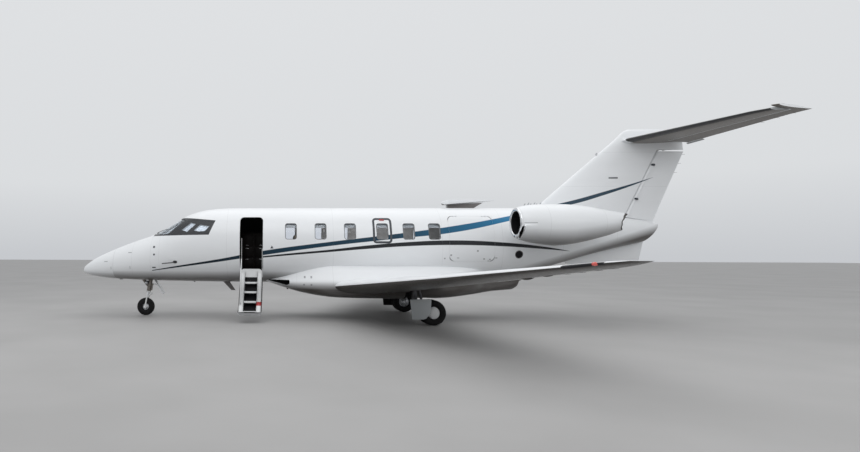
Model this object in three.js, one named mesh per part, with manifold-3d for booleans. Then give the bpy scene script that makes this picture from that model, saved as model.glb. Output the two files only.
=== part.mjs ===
// Light business jet, parked on its gear with the airstair door open.
// Millimetres. +X runs aft, +Y to starboard, +Z up. The origin is on the ground, below the middle of
// the overall length. A "station" is a distance aft of the nose tip. The port side is at negative Y.
import * as THREE from "three";
import { mergeVertices } from "three/addons/utils/BufferGeometryUtils.js";
import Module from "manifold-3d";

const wasm = await Module();
wasm.setup();

// Driving dimensions
const LENGTH = 16850;
const HALF_SPAN = 8500;
const FIN_TOP = 5205;
const WALL = 80; // fuselage wall with its lining
const SEAT = 0.4; // gap between pieces that rest on each other
const DOOR_GAP = 8; // gap round a door or a control surface
const AROUND = 32; // points round a fuselage section
const SKIN_POWER = 2.2; // 2 is an ellipse, more is squarer

// Fuselage skin
const SKIN = [
  // station, half width, lowest z, widest z, highest z
  [0, 30, 1240, 1270, 1300],
  [50, 120, 1188, 1270, 1375],
  [140, 200, 1150, 1278, 1450],
  [350, 325, 1102, 1310, 1595],
  [700, 460, 1055, 1360, 1765],
  [1100, 575, 1022, 1430, 1935],
  [1600, 690, 1000, 1530, 2120],
  [2050, 775, 990, 1625, 2275],
  [2450, 840, 980, 1730, 2490],
  [2850, 890, 974, 1830, 2735],
  [3150, 920, 970, 1890, 2870],
  [3500, 943, 965, 1945, 2965],
  [4000, 960, 960, 1985, 3018],
  [4600, 965, 960, 2000, 3030],
  [10400, 965, 960, 2000, 3030],
  [11000, 962, 985, 2003, 3030],
  [11700, 945, 1085, 2025, 3028],
  [12400, 890, 1265, 2080, 3015],
  [13200, 775, 1505, 2165, 2975],
  [14000, 630, 1745, 2255, 2895],
  [14800, 470, 1945, 2330, 2795],
  [15400, 340, 2085, 2380, 2705],
  [15750, 240, 2185, 2415, 2645],
  [15900, 130, 2290, 2440, 2590],
];
const RADOME_END = 1000;
const NOSE_END = 2100;
const COCKPIT_END = 4200;
const CABIN_END = 11400;

// Openings in the fuselage
const DOOR = { from: 4540, to: 5160, sill: 1270, top: 2730, corner: 110 };
const CARGO = { from: 10040, to: 11200, sill: 1560, top: 2760, corner: 120 };
const EXIT = { from: 8065, to: 8555, sill: 2030, top: 2700, corner: 90 };
const WINDOW = { width: 310, height: 410, z: 2345, corner: 100 };
const WINDOW_STATIONS = [5905, 6690, 7465, 8310, 9000, 9665];
const EXIT_WINDOW = 3;

// Wing, tail and other surfaces: planform rows are [span, leading edge, trailing edge, z, thickness share]
const WING = [
  [1150.4, 7040, 9790, 905, 0.14],
  [5230, 8470, 10060, 1280, 0.125],
  [8000, 9440, 10240, 1555, 0.11],
  [8350, 9720, 10310, 1610, 0.1],
  [HALF_SPAN, 10060, 10360, 1650, 0.09],
];
const WING_HINGE_SHARE = 0.74;
const FLAP_SPAN = [1215, 5200];
const AILERON_SPAN = [5240, 7900];
const STABILISER_Z = 4880;
const STABILISER = [
  [0, 14960, 16640, STABILISER_Z, 0.1],
  [3100, 15920, 16790, STABILISER_Z, 0.09],
  [3560, 16180, 16850, STABILISER_Z, 0.085],
];
const ELEVATOR_HINGE = [
  [230, 16130],
  [3560, 16560],
];
const ELEVATOR_SPAN = 230; // the elevators start here
const HORN_SPAN = 3440; // the elevator's horn balance starts here
const ELEVATOR_DROOP = 9.5; // degrees that the elevators hang down by with the controls free
const FIN = [
  // z, leading edge, trailing edge, thickness
  [2500, 12000, 15715, 300],
  [3130, 12770, 15995, 280],
  [4600, 14470, 16670, 200],
  [5010, 14950, 16600, 180],
];
const FIN_CAP = [
  [4560, 14440, 16660, 200],
  [5000, 14920, 16610, 190],
  [5150, 15080, 16420, 140],
  [FIN_TOP, 15210, 16250, 40],
];
const RUDDER_HINGE = { low: [15060, 2760], high: [15990, 4590] };
const RUDDER_TOP = 4590;
const RUDDER_FOOT = 2745;
const RUDDER_HEEL = 2630; // the lowest z of the rudder's trailing corner
const TAIL_END = { low: [15409, 2071], high: [15846, 2562] }; // the slanted end of the tail cone

// Engines
const ENGINE = { y: 1800, z: 2500, inlet: 11370, fan: 11900, nozzle: 13960 };
const DUCT_RADIUS = 310;
const FAN_RADIUS = 298;
const FAN_BLADES = 14;

// Landing gear
const NOSE_WHEEL = { station: 1810, radius: 245, half: 80 };
const NOSE_LEG_TOP = { station: 1945, z: 1060 };
const MAIN_WHEEL = { station: 9360, radius: 310, half: 95, inner: 1500, outer: 1800 };
const MAIN_LEG = { station: 8960, y: 1650 };

const at = (station) => station - LENGTH / 2;

const paint = new THREE.MeshStandardMaterial({ color: 0xeef0f2, roughness: 0.3, metalness: 0 });
const grey = new THREE.MeshStandardMaterial({ color: 0xa9adb2, roughness: 0.45, metalness: 0.1 });
const steel = new THREE.MeshStandardMaterial({ color: 0x9a9ca0, roughness: 0.35, metalness: 0.8 });
const dark = new THREE.MeshStandardMaterial({ color: 0x2a2b2d, roughness: 0.6, metalness: 0.2 });
const rubber = new THREE.MeshStandardMaterial({ color: 0x161616, roughness: 0.9, metalness: 0 });
const leather = new THREE.MeshStandardMaterial({ color: 0xb9a98f, roughness: 0.6, metalness: 0 });
const glass = new THREE.MeshStandardMaterial({ color: 0x2b333a, roughness: 0.05, metalness: 0 });

// A closed three.js geometry as a solid that can be joined and cut
function solid(geometry) {
  const source = geometry.index ? geometry.toNonIndexed() : geometry;
  const bare = new THREE.BufferGeometry();
  bare.setAttribute("position", source.getAttribute("position"));
  const merged = mergeVertices(bare, 1e-2);
  const corners = [];
  for (let i = 0; i < merged.index.count; i += 3) {
    const [a, b, c] = [0, 1, 2].map((k) => merged.index.getX(i + k));
    if (a !== b && b !== c && c !== a) corners.push([a, b, c]);
  }
  const build = (order) =>
    new wasm.Manifold(
      new wasm.Mesh({
        numProp: 3,
        vertProperties: merged.attributes.position.array,
        triVerts: new Uint32Array(corners.flatMap(order)),
      }),
    );
  const made = build((t) => t);
  return made.volume() > 0 ? made : build(([a, b, c]) => [a, c, b]);
}

function geometryOf(made) {
  const mesh = made.getMesh();
  const points = new Float32Array(mesh.numVert * 3);
  for (let i = 0; i < mesh.numVert; i++) {
    points.set(mesh.vertProperties.subarray(i * mesh.numProp, i * mesh.numProp + 3), i * 3);
  }
  const geometry = new THREE.BufferGeometry();
  geometry.setAttribute("position", new THREE.BufferAttribute(points, 3));
  geometry.setIndex(new THREE.BufferAttribute(mesh.triVerts, 1));
  geometry.computeVertexNormals();
  return geometry;
}

const join = (...pieces) => pieces.reduce((whole, next) => whole.add(next));

// Skins over a row of closed loops that have the same number of points, with a fan over each end
function loft(loops) {
  const points = [];
  const face = (...corners) => corners.forEach((p) => points.push(...p));
  const count = loops[0].length;
  for (let i = 0; i < loops.length - 1; i++) {
    for (let j = 0; j < count; j++) {
      const k = (j + 1) % count;
      face(loops[i][j], loops[i][k], loops[i + 1][k]);
      face(loops[i][j], loops[i + 1][k], loops[i + 1][j]);
    }
  }
  const fan = (loop, turn) => {
    const middle = [0, 1, 2].map((k) => loop.reduce((sum, p) => sum + p[k], 0) / count);
    loop.forEach((p, j) => {
      const q = loop[(j + 1) % count];
      if (turn) face(middle, q, p);
      else face(middle, p, q);
    });
  };
  fan(loops[0], true);
  fan(loops[loops.length - 1], false);
  const geometry = new THREE.BufferGeometry();
  geometry.setAttribute("position", new THREE.Float32BufferAttribute(points, 3));
  return solid(geometry);
}

function box(x0, x1, y0, y1, z0, z1) {
  const geometry = new THREE.BoxGeometry(x1 - x0, y1 - y0, z1 - z0);
  return solid(geometry.translate((x0 + x1) / 2, (y0 + y1) / 2, (z0 + z1) / 2));
}

// A round bar, or a cone, from one point to another
function bar(from, to, radius, endRadius = radius, sides = 12) {
  const a = new THREE.Vector3(...from);
  const b = new THREE.Vector3(...to);
  const geometry = new THREE.CylinderGeometry(endRadius, radius, a.distanceTo(b), sides);
  const up = new THREE.Vector3(0, 1, 0);
  const turn = new THREE.Quaternion().setFromUnitVectors(up, b.clone().sub(a).normalize());
  geometry.applyQuaternion(turn);
  return solid(geometry.translate(...a.add(b).multiplyScalar(0.5).toArray()));
}

// A solid turned by an angle in degrees about the line from one point to another
function turnedAbout(made, from, to, angle) {
  const origin = new THREE.Vector3(...from);
  const axis = new THREE.Vector3(...to).sub(origin).normalize();
  const matrix = new THREE.Matrix4()
    .makeTranslation(...origin.toArray())
    .multiply(new THREE.Matrix4().makeRotationAxis(axis, THREE.MathUtils.degToRad(angle)))
    .multiply(new THREE.Matrix4().makeTranslation(...origin.clone().negate().toArray()));
  return made.transform(matrix.toArray());
}

// A profile of [x, radius] points turned about the X axis
function turned(profile, sides = 28) {
  const points = profile.map(([x, radius]) => new THREE.Vector2(radius, x));
  const geometry = new THREE.LatheGeometry(points, sides);
  return solid(geometry.rotateZ(-Math.PI / 2));
}

// A flat outline made thick: from (x, z) along Y, from (y, z) along X, or from (x, y) along Z
function plate(outline, plane, from, to) {
  const shape = new THREE.Shape(outline.map(([u, v]) => new THREE.Vector2(u, v)));
  const geometry = new THREE.ExtrudeGeometry(shape, { depth: to - from, bevelEnabled: false });
  const basis = new THREE.Matrix4();
  const [x, y, z] = [new THREE.Vector3(1, 0, 0), new THREE.Vector3(0, 1, 0), new THREE.Vector3(0, 0, 1)];
  if (plane === "xz") basis.makeBasis(x, z, y.clone().negate()).setPosition(0, to, 0);
  if (plane === "yz") basis.makeBasis(y, z, x).setPosition(from, 0, 0);
  if (plane === "xy") basis.setPosition(0, 0, from);
  return solid(geometry.applyMatrix4(basis));
}

function roundedOutline(u0, u1, v0, v1, radius, steps = 4) {
  const corners = [
    // centre of the arc, and its first quarter turn
    [u1 - radius, v1 - radius, 0],
    [u0 + radius, v1 - radius, 1],
    [u0 + radius, v0 + radius, 2],
    [u1 - radius, v0 + radius, 3],
  ];
  return corners.flatMap(([u, v, quarter]) =>
    Array.from({ length: steps + 1 }, (_, i) => {
      const angle = ((quarter + i / steps) * Math.PI) / 2;
      return [u + radius * Math.cos(angle), v + radius * Math.sin(angle)];
    }),
  );
}

// A row's values at any place between the rows of a table, on a smooth cubic
function between(table, place) {
  const last = table.length - 1;
  let i = 0;
  while (i < last - 1 && table[i + 1][0] < place) i++;
  const slope = (k, column) => {
    const a = table[Math.max(k - 1, 0)];
    const b = table[Math.min(k + 1, last)];
    return (b[column] - a[column]) / (b[0] - a[0]);
  };
  const [low, high] = [table[i], table[i + 1]];
  const step = high[0] - low[0];
  const t = Math.min(Math.max((place - low[0]) / step, 0), 1);
  return low.map((value, column) => {
    if (column === 0) return place;
    const rise = high[column] - value;
    const m0 = slope(i, column) * step;
    const m1 = slope(i + 1, column) * step;
    return value + t * m0 + t * t * (3 * rise - 2 * m0 - m1) + t * t * t * (m0 + m1 - 2 * rise);
  });
}

// A table's values at a place, in straight lines between its rows
function along(table, place) {
  const i = Math.max(0, table.findIndex((row, k) => k < table.length - 1 && place <= table[k + 1][0]));
  const [low, high] = [table[i], table[i + 1]];
  const t = (place - low[0]) / (high[0] - low[0]);
  return low.map((value, column) => value + t * (high[column] - value));
}

// The stations where the skin has a loop, the joints between its sections among them
const LOOPS = [...SKIN.map((row) => row[0]), NOSE_END, COCKPIT_END, CABIN_END].sort((a, b) => a - b);
const SKIN_ROWS = LOOPS.map((station) => between(SKIN, station));

// The loop of the fuselage skin at a station, moved inwards by an inset
function skinLoop(station, inset = 0) {
  const [, width, low, middle, high] = along(SKIN_ROWS, station);
  return Array.from({ length: AROUND }, (_, i) => {
    const angle = ((i + 0.5) * 2 * Math.PI) / AROUND;
    const [c, s] = [Math.cos(angle), Math.sin(angle)];
    const power = (value) => Math.sign(value) * Math.abs(value) ** (2 / SKIN_POWER);
    const reach = s > 0 ? high - middle - inset : middle - low - inset;
    return [at(station), (width - inset) * power(c), middle + reach * power(s)];
  });
}

// Half the width of the skin at a station and height
function skinSide(station, z) {
  const [, width, low, middle, high] = along(SKIN_ROWS, station);
  const share = Math.abs(z - middle) / (z > middle ? high - middle : middle - low);
  return width * (1 - share ** SKIN_POWER) ** (1 / SKIN_POWER);
}

function stationsOf(from, to) {
  return [from, ...LOOPS.filter((s) => s > from + 1 && s < to - 1), to];
}

const hull = (from, to, inset = 0) => loft(stationsOf(from, to).map((s) => skinLoop(s, inset)));
const cabinHollow = (from, to, inset = WALL) => hull(from, to, inset);

// A symmetric wing section between two points of the chord, as a loop in the plane of the span
const SECTION = [
  // share of the chord, share of the half thickness
  [0, 0],
  [0.012, 0.3],
  [0.06, 0.63],
  [0.17, 0.9],
  [0.34, 1],
  [0.54, 0.87],
  [0.74, 0.56],
  [1, 0.04],
];

function sectionLoop(leading, trailing, halfThickness, place) {
  const chord = trailing - leading;
  const upper = SECTION.map(([c, t]) => place(leading + c * chord, t * halfThickness));
  const lower = SECTION.slice(1).map(([c, t]) => place(leading + c * chord, -t * halfThickness));
  return [...upper, ...lower.reverse()];
}

// A wing or tailplane half on the port side, swollen by a skin so that it can cut its seat
function surfaceLoops(table, swell = 0) {
  return table.map(([span, leading, trailing, z, share]) =>
    sectionLoop(leading - swell, trailing + swell, ((trailing - leading) * share) / 2 + swell, (s, t) => [
      at(s),
      -span,
      z + t,
    ]),
  );
}

// Hinge knuckles on an axis along X: what each side gains, and what each side loses to let them turn
const KNUCKLE = { pin: 10, fit: 11.05, radius: 20, clear: 27, half: 22, space: 6, wide: 30 };

function knuckles(y, z, places) {
  const { pin, fit, radius, clear, half, space, wide } = KNUCKLE;
  const run = (x0, x1, r) => bar([x0, y, z], [x1, y, z], r, r, 8);
  const outer = half + space + wide;
  const each = (make) => join(...places.map(make));
  return {
    fixed: each((x) => run(x - half, x + half, radius).subtract(run(x - half - 5, x + half + 5, fit))),
    moving: each((x) =>
      join(
        run(x - outer, x + outer, pin),
        run(x - outer, x - half - space, radius),
        run(x + half + space, x + outer, radius),
      ),
    ),
    fixedCut: each((x) =>
      run(x - outer - space, x - half, clear).add(run(x + half, x + outer + space, clear)),
    ),
    movingCut: each((x) => run(x - half - space, x + half + space, clear)),
  };
}

// A hinge pin that runs on from one point past another, and the hole that it turns in
const PIN_FIT = 0.9;

function hingePin(from, past, reach, radius) {
  const a = new THREE.Vector3(...from);
  const b = new THREE.Vector3(...past);
  const ahead = b.clone().sub(a).normalize();
  const start = b.clone().addScaledVector(ahead, -40).toArray();
  const end = (more) => b.clone().addScaledVector(ahead, reach + more).toArray();
  return { pin: bar(start, end(0), radius), hole: bar(start, end(4), radius + PIN_FIT) };
}

const root = new THREE.Group();

function piece(name, made, material, parent = root) {
  const mesh = new THREE.Mesh(geometryOf(made), material);
  mesh.name = name;
  parent.add(mesh);
  return mesh;
}

// The same solid on both sides: the port one, and its mirror image
function pair(name, made, material) {
  piece(name + "_left", made, material);
  piece(name + "_right", made, material).scale.set(1, -1, 1);
}

// Fuselage sections
const noseLegTop = [at(NOSE_LEG_TOP.station), 0, NOSE_LEG_TOP.z];
const noseHub = [at(NOSE_WHEEL.station), 0, NOSE_WHEEL.radius];
const BAY = { from: 1180, to: 2060, half: 150, roof: 1330 };

function buildNose() {
  piece("radome", hull(0, RADOME_END - SEAT), paint);
  const bay = box(at(BAY.from), at(BAY.to), -BAY.half, BAY.half, 0, BAY.roof);
  const pad = box(at(1050), at(1130), -40, 40, 1003, 1060);
  piece("nose_section", hull(RADOME_END, NOSE_END - SEAT).subtract(bay).add(pad), paint);
}

// Cockpit glazing: outlines of the front panes (y, z) and of the side windows (station, z)
const FRONT_PANE = [
  [30, 2300],
  [600, 2262],
  [680, 2300],
  [560, 2650],
  [480, 2690],
  [30, 2715],
];
const SIDE_PANE = [
  [2660, 2275],
  [3610, 2262],
  [3690, 2300],
  [3800, 2560],
  [3740, 2600],
  [3220, 2655],
  [3080, 2600],
];
const PANE_REST = [2050, 3080]; // the stations that a front pane's prism runs between
const PANE_DEPTH = [10, 34]; // how far below the skin a pane's two faces lie

function shrink(outline, by) {
  const middle = [0, 1].map((k) => outline.reduce((sum, p) => sum + p[k], 0) / outline.length);
  return outline.map((p) => {
    const away = Math.hypot(p[0] - middle[0], p[1] - middle[1]);
    return p.map((value, k) => value + ((middle[k] - value) * by) / away);
  });
}

const frontPrism = (by) => plate(shrink(FRONT_PANE, by), "yz", at(PANE_REST[0]), at(PANE_REST[1]));
const sidePrism = (by) =>
  plate(shrink(SIDE_PANE, by).map(([s, z]) => [at(s), z]), "xz", -1100, -200);
const flip = (made) => made.mirror([0, 1, 0]);

function buildCockpit() {
  const PANE_FIT = 0.5;
  let shell = hull(NOSE_END, COCKPIT_END - SEAT).subtract(cabinHollow(NOSE_END + 40, COCKPIT_END));
  for (const cut of [frontPrism(0), sidePrism(0)]) shell = shell.subtract(cut).subtract(flip(cut));
  piece("cockpit_shell", shell, paint);
  const layer = hull(NOSE_END, COCKPIT_END, PANE_DEPTH[0]).subtract(
    hull(NOSE_END - 20, COCKPIT_END + 20, PANE_DEPTH[1]),
  );
  const front = layer.intersect(flip(frontPrism(PANE_FIT)));
  pair("windshield", front, glass);
  pair("side_window", layer.intersect(sidePrism(PANE_FIT)), glass);
  const inside = hull(NOSE_END + 41, COCKPIT_END, WALL + SEAT);
  const panel = [
    [at(2640), 2290],
    [at(2900), 2290],
    [at(2930), 2230],
    [at(2830), 2190],
    [at(2800), 1700],
    [at(2640), 1700],
  ];
  piece("instrument_panel", plate(panel, "xz", -900, 900).intersect(inside), dark);
}

const doorOutline = (door, gap) =>
  roundedOutline(at(door.from) + gap, at(door.to) - gap, door.sill + gap, door.top - gap, door.corner - gap);

function windowPrism(station, y0, y1) {
  const half = [WINDOW.width / 2, WINDOW.height / 2];
  const x = at(station);
  const outline = roundedOutline(x - half[0], x + half[0], WINDOW.z - half[1], WINDOW.z + half[1], WINDOW.corner, 2);
  return plate(outline, "xz", y0, y1);
}

const STAIR_HINGE = { y: -738, z: DOOR.sill };
const CARGO_HINGE = { y: -700, z: CARGO.top };
const stairHinge = knuckles(STAIR_HINGE.y, STAIR_HINGE.z, [at(DOOR.from) + 210, at(DOOR.to) - 210]);

function buildCabin() {
  const PORT = [-1100, -100];
  const wall = hull(COCKPIT_END, CABIN_END - SEAT).subtract(
    cabinHollow(COCKPIT_END - 10, CABIN_END - 40),
  );
  let shell = wall;
  for (const door of [DOOR, CARGO, EXIT]) {
    shell = shell.subtract(plate(doorOutline(door, 0), "xz", ...PORT));
  }
  WINDOW_STATIONS.forEach((station, i) => {
    if (i !== EXIT_WINDOW) shell = shell.subtract(windowPrism(station, ...PORT));
    shell = shell.subtract(windowPrism(station, -PORT[1], -PORT[0]));
  });
  const cargoHinge = knuckles(CARGO_HINGE.y, CARGO_HINGE.z, [at(CARGO.from) + 200, at(CARGO.to) - 200]);
  shell = shell.subtract(stairHinge.fixedCut).subtract(cargoHinge.fixedCut);
  piece("cabin_shell", join(shell, stairHinge.fixed, cargoHinge.fixed), paint);
  const hatch = wall
    .intersect(plate(doorOutline(EXIT, SEAT), "xz", ...PORT))
    .subtract(windowPrism(WINDOW_STATIONS[EXIT_WINDOW], ...PORT));
  piece("exit_hatch", hatch, paint);
  const rounder = { ...CARGO, corner: CARGO.corner + 40 }; // its top corners pass the wall's as it swings
  const cargo = wall.intersect(plate(doorOutline(rounder, DOOR_GAP), "xz", ...PORT));
  piece("cargo_door", cargo.subtract(cargoHinge.movingCut).add(cargoHinge.moving), paint);
  return wall.intersect(plate(doorOutline(DOOR, DOOR_GAP), "xz", ...PORT));
}

const FLOOR_TOP = DOOR.sill - 5;

function buildInterior() {
  const inside = hull(NOSE_END + 41, CABIN_END - 41, WALL + SEAT);
  const floor = box(at(NOSE_END), at(CABIN_END), -900, 900, FLOOR_TOP - 70, FLOOR_TOP);
  piece("cabin_floor", floor.intersect(inside), dark);
  const CABINET = { from: 4420, to: 5300, y: 330, top: 2350 };
  const cabinet = box(at(CABINET.from), at(CABINET.to), CABINET.y, 950, FLOOR_TOP + SEAT, CABINET.top);
  piece("galley_cabinet", cabinet.intersect(inside), dark);
  const seats = [
    // name, station of the seat's middle, y, and 1 where it faces forward or -1 aft
    ["pilot_seat_left", 3420, -380, 1],
    ["pilot_seat_right", 3420, 380, 1],
    ["cabin_seat_1_left", 6250, -430, -1],
    ["cabin_seat_1_right", 6250, 430, -1],
    ["cabin_seat_2_left", 7800, -430, 1],
    ["cabin_seat_2_right", 7800, 430, 1],
  ];
  for (const [name, station, y, facing] of seats) {
    const part = (x0, x1, half, z0, z1) =>
      box(Math.min(x0, x1), Math.max(x0, x1), -half, half, z0, z1);
    const made = join(
      part(-150, 150, 110, 0, 250),
      part(-260, 230, 230, 240, 430),
      part(160, 290, 230, 300, 830),
      part(190, 280, 140, 820, 1000),
      box(-180, 180, 225, 270, 300, 560),
      box(-180, 180, -270, -225, 300, 560),
    );
    const mesh = piece(name, made, leather);
    mesh.position.set(at(station), y, FLOOR_TOP + SEAT);
    if (facing < 0) mesh.rotation.z = Math.PI;
  }
}

// Wing to body fairing, with the wheel wells in its underside
const FAIRING = [
  // station, half width, lowest z, shoulder z, top z where it meets the skin
  [5150, 320, 1020, 1060, 1080],
  [5600, 620, 870, 1010, 1200],
  [6200, 900, 700, 1000, 1360],
  [6900, 1150, 590, 1030, 1440],
  [7500, 1150, 560, 1050, 1450],
  [8600, 1150, 550, 1060, 1450],
  [9900, 1150, 575, 1060, 1450],
  [10700, 1010, 670, 1090, 1440],
  [11300, 680, 755, 1110, 1420],
  [11850, 540, 800, 1120, 1400],
  [11960, 500, 860, 1150, 1400],
  [12020, 460, 990, 1200, 1400],
  [12400, 300, 1220, 1290, 1420],
];
const WELL = { station: MAIN_WHEEL.station, y: 480, radius: 380, roof: 800 };

function fairingLoop([station, half, low, shoulder, top]) {
  const side = [
    // share of the half width, z
    [0, low],
    [0.5, low + 0.01 * (shoulder - low)],
    [0.78, low + 0.12 * (shoulder - low)],
    [0.93, low + 0.35 * (shoulder - low)],
    [1, low + 0.68 * (shoulder - low)],
    [1, shoulder],
    [0.93, shoulder + 0.32 * (top - shoulder)],
    [0.82, shoulder + 0.72 * (top - shoulder)],
    [0.66, top],
    [0, top],
  ];
  const point = (sign) => ([share, z]) => [at(station), sign * share * half, z];
  return [...side.map(point(-1)), ...side.slice(1, -1).reverse().map(point(1))];
}

function buildFairing() {
  let fairing = loft(FAIRING.map(fairingLoop)).subtract(hull(4200, 14000, -SEAT));
  for (const sign of [-1, 1]) {
    const centre = [at(WELL.station), sign * WELL.y];
    const well = bar([...centre, 0], [...centre, WELL.roof], WELL.radius, WELL.radius, 20);
    const slot = box(at(8870), at(9050), -350, 350, 0, 760).translate([0, sign * 870, 0]);
    fairing = fairing.subtract(well).subtract(slot);
  }
  piece("belly_fairing", fairing, paint);
}

// The region of a planform aft of its hinge line, as a prism through the surface
function behindHinge(hinge, spans, ahead, z0, z1) {
  const [inner, outer] = spans;
  const outline = [
    [at(hinge(inner)) - ahead, -inner],
    [at(hinge(outer)) - ahead, -outer],
    [at(LENGTH) + 400, -outer],
    [at(LENGTH) + 400, -inner],
  ];
  return plate(outline, "xy", z0, z1);
}

const wingHinge = (span) => {
  const [, leading, trailing] = along(WING, span);
  return leading + WING_HINGE_SHARE * (trailing - leading);
};
const HINGE_THICKNESS = 0.56; // of the greatest, from the section's table

function hingeNose(table, hinge, spans) {
  const end = (span) => {
    const [, leading, trailing, z, share] = along(table, span);
    return [[at(hinge(span)), -span, z], ((trailing - leading) * share * HINGE_THICKNESS) / 2];
  };
  const [from, fromRadius] = end(spans[0]);
  const [to, toRadius] = end(spans[1]);
  return { nose: bar(from, to, fromRadius, toRadius, 12), radius: Math.max(fromRadius, toRadius) };
}

function buildWing() {
  const whole = loft(surfaceLoops(WING));
  const tall = [300, 2300];
  const flapCut = behindHinge(wingHinge, [FLAP_SPAN[0] - 35, AILERON_SPAN[0]], 12, ...tall);
  const { nose, radius } = hingeNose(WING, wingHinge, AILERON_SPAN);
  const aileronCut = behindHinge(
    wingHinge,
    [AILERON_SPAN[0] - DOOR_GAP, AILERON_SPAN[1] + DOOR_GAP],
    radius + DOOR_GAP,
    ...tall,
  );
  const hinge = AILERON_SPAN.map((span) => [at(wingHinge(span)), -span, along(WING, span)[3]]);
  const { pin, hole } = hingePin(...hinge, 70, 8);
  const pad = box(at(8250), at(8350), -1950, -1850, 785, 860);
  pair("wing", whole.subtract(flapCut).subtract(aileronCut).subtract(hole).add(pad), paint);
  pair("flap", whole.intersect(behindHinge(wingHinge, FLAP_SPAN, 11.5, ...tall)), paint);
  const aileron = whole.intersect(behindHinge(wingHinge, AILERON_SPAN, 0, ...tall)).add(nose).add(pin);
  pair("aileron", aileron, paint);
}

const elevatorHinge = (span) => along(ELEVATOR_HINGE, span)[1];

function buildTailplane() {
  const half = loft(surfaceLoops(STABILISER));
  const tall = [STABILISER_Z - 300, STABILISER_Z + 300];
  const BEYOND = 4000; // a span outside the tip
  const { nose, radius } = hingeNose(STABILISER, elevatorHinge, [ELEVATOR_SPAN, HORN_SPAN + 20]);
  const gap = radius + DOOR_GAP;
  const slot = behindHinge(elevatorHinge, [ELEVATOR_SPAN - DOOR_GAP, BEYOND], gap, ...tall);
  const hornCut = behindHinge(elevatorHinge, [HORN_SPAN - DOOR_GAP, BEYOND], 1200, ...tall);
  const hinge = [HORN_SPAN, ELEVATOR_SPAN].map((span) => [at(elevatorHinge(span)), -span, STABILISER_Z]);
  const { pin, hole } = hingePin(...hinge, 60, 12);
  const fixed = half.subtract(slot.add(hornCut)).subtract(hole);
  piece("stabiliser", fixed.add(flip(fixed)), paint);
  const blade = behindHinge(elevatorHinge, [ELEVATOR_SPAN, BEYOND], 0, ...tall);
  const horn = behindHinge(elevatorHinge, [HORN_SPAN, BEYOND], 1200, ...tall);
  const level = half.intersect(blade.add(horn)).add(nose).add(pin);
  pair("elevator", turnedAbout(level, hinge[1], hinge[0], -ELEVATOR_DROOP), paint);
}

const finLoops = (table, swell = 0) =>
  table.map(([z, leading, trailing, thickness]) =>
    sectionLoop(leading - swell, trailing + swell, thickness / 2 + swell, (s, t) => [at(s), t, z]),
  );

function rudderPrism(ahead, low, high) {
  const { low: foot, high: head } = RUDDER_HINGE;
  const lean = (head[0] - foot[0]) / (head[1] - foot[1]);
  const hinge = (z) => at(foot[0] + (z - foot[1]) * lean) - ahead;
  const outline = [
    [hinge(low), low],
    [at(LENGTH) + 500, low],
    [at(LENGTH) + 500, high],
    [hinge(high), high],
  ];
  return { prism: plate(outline, "xz", -400, 400), hinge };
}

function buildFin() {
  const whole = join(loft(finLoops(FIN)), loft(finLoops(FIN_CAP)));
  const body = hull(11000, 15900, -SEAT);
  const RUDDER_RADIUS = [72, 66];
  const TOP_SLOPE = 34;
  const cut = rudderPrism(RUDDER_RADIUS[0] + DOOR_GAP + 4, RUDDER_FOOT - 400, RUDDER_TOP + DOOR_GAP + TOP_SLOPE);
  const seat = loft(surfaceLoops(STABILISER, SEAT));
  const fixed = whole.subtract(body).subtract(cut.prism).subtract(seat).subtract(flip(seat));
  const foot = RUDDER_FOOT + 30;
  const { prism, hinge } = rudderPrism(0, RUDDER_HEEL, RUDDER_TOP);
  const head = RUDDER_TOP - 12;
  const { pin, hole } = hingePin([hinge(foot), 0, foot], [hinge(head), 0, head], 110, 16);
  piece("fin", fixed.subtract(hole), paint);
  const nose = bar(
    [hinge(foot), 0, foot],
    [hinge(head), 0, head],
    RUDDER_RADIUS[0],
    RUDDER_RADIUS[1],
    20,
  );
  const clearance = hull(14000, 15900, -DOOR_GAP - 10);
  piece("rudder", whole.intersect(prism).add(nose).subtract(clearance).add(pin), paint);
  const VENTRAL = [
    [13000, 1800],
    [13500, 1480],
    [15380, 1600],
    [15570, 2350],
  ];
  const strake = plate(VENTRAL.map(([s, z]) => [at(s), z]), "xz", -16, 16);
  piece("ventral_fin", strake.subtract(body), paint);
}

// Engine nacelles, each a duct that is open at both ends, with its scoop below
const NACELLE = [
  // station, radius: the outside from the lip to the nozzle, then the inside back to the lip
  [ENGINE.inlet, 330],
  [11395, 368],
  [11500, 410],
  [11750, 465],
  [12200, 503],
  [12550, 496],
  [13050, 425],
  [13650, 285],
  [ENGINE.nozzle, 210],
  [ENGINE.nozzle, 198],
  [13650, 265],
  [13100, 345],
  [12500, 350],
  [12200, DUCT_RADIUS],
  [11800, DUCT_RADIUS],
  [11500, 288],
  [11410, 300],
];
const OUTSIDE_ROWS = 9; // the rows of NACELLE that are the outside
// The scoop's mouth is an oval, so far from the engine's axis and so many degrees below the level
const SCOOP = { from: 11420, to: 12500, reach: 400, below: 38, radius: 118, squash: [1, 0.75, 1.45] };

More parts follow.
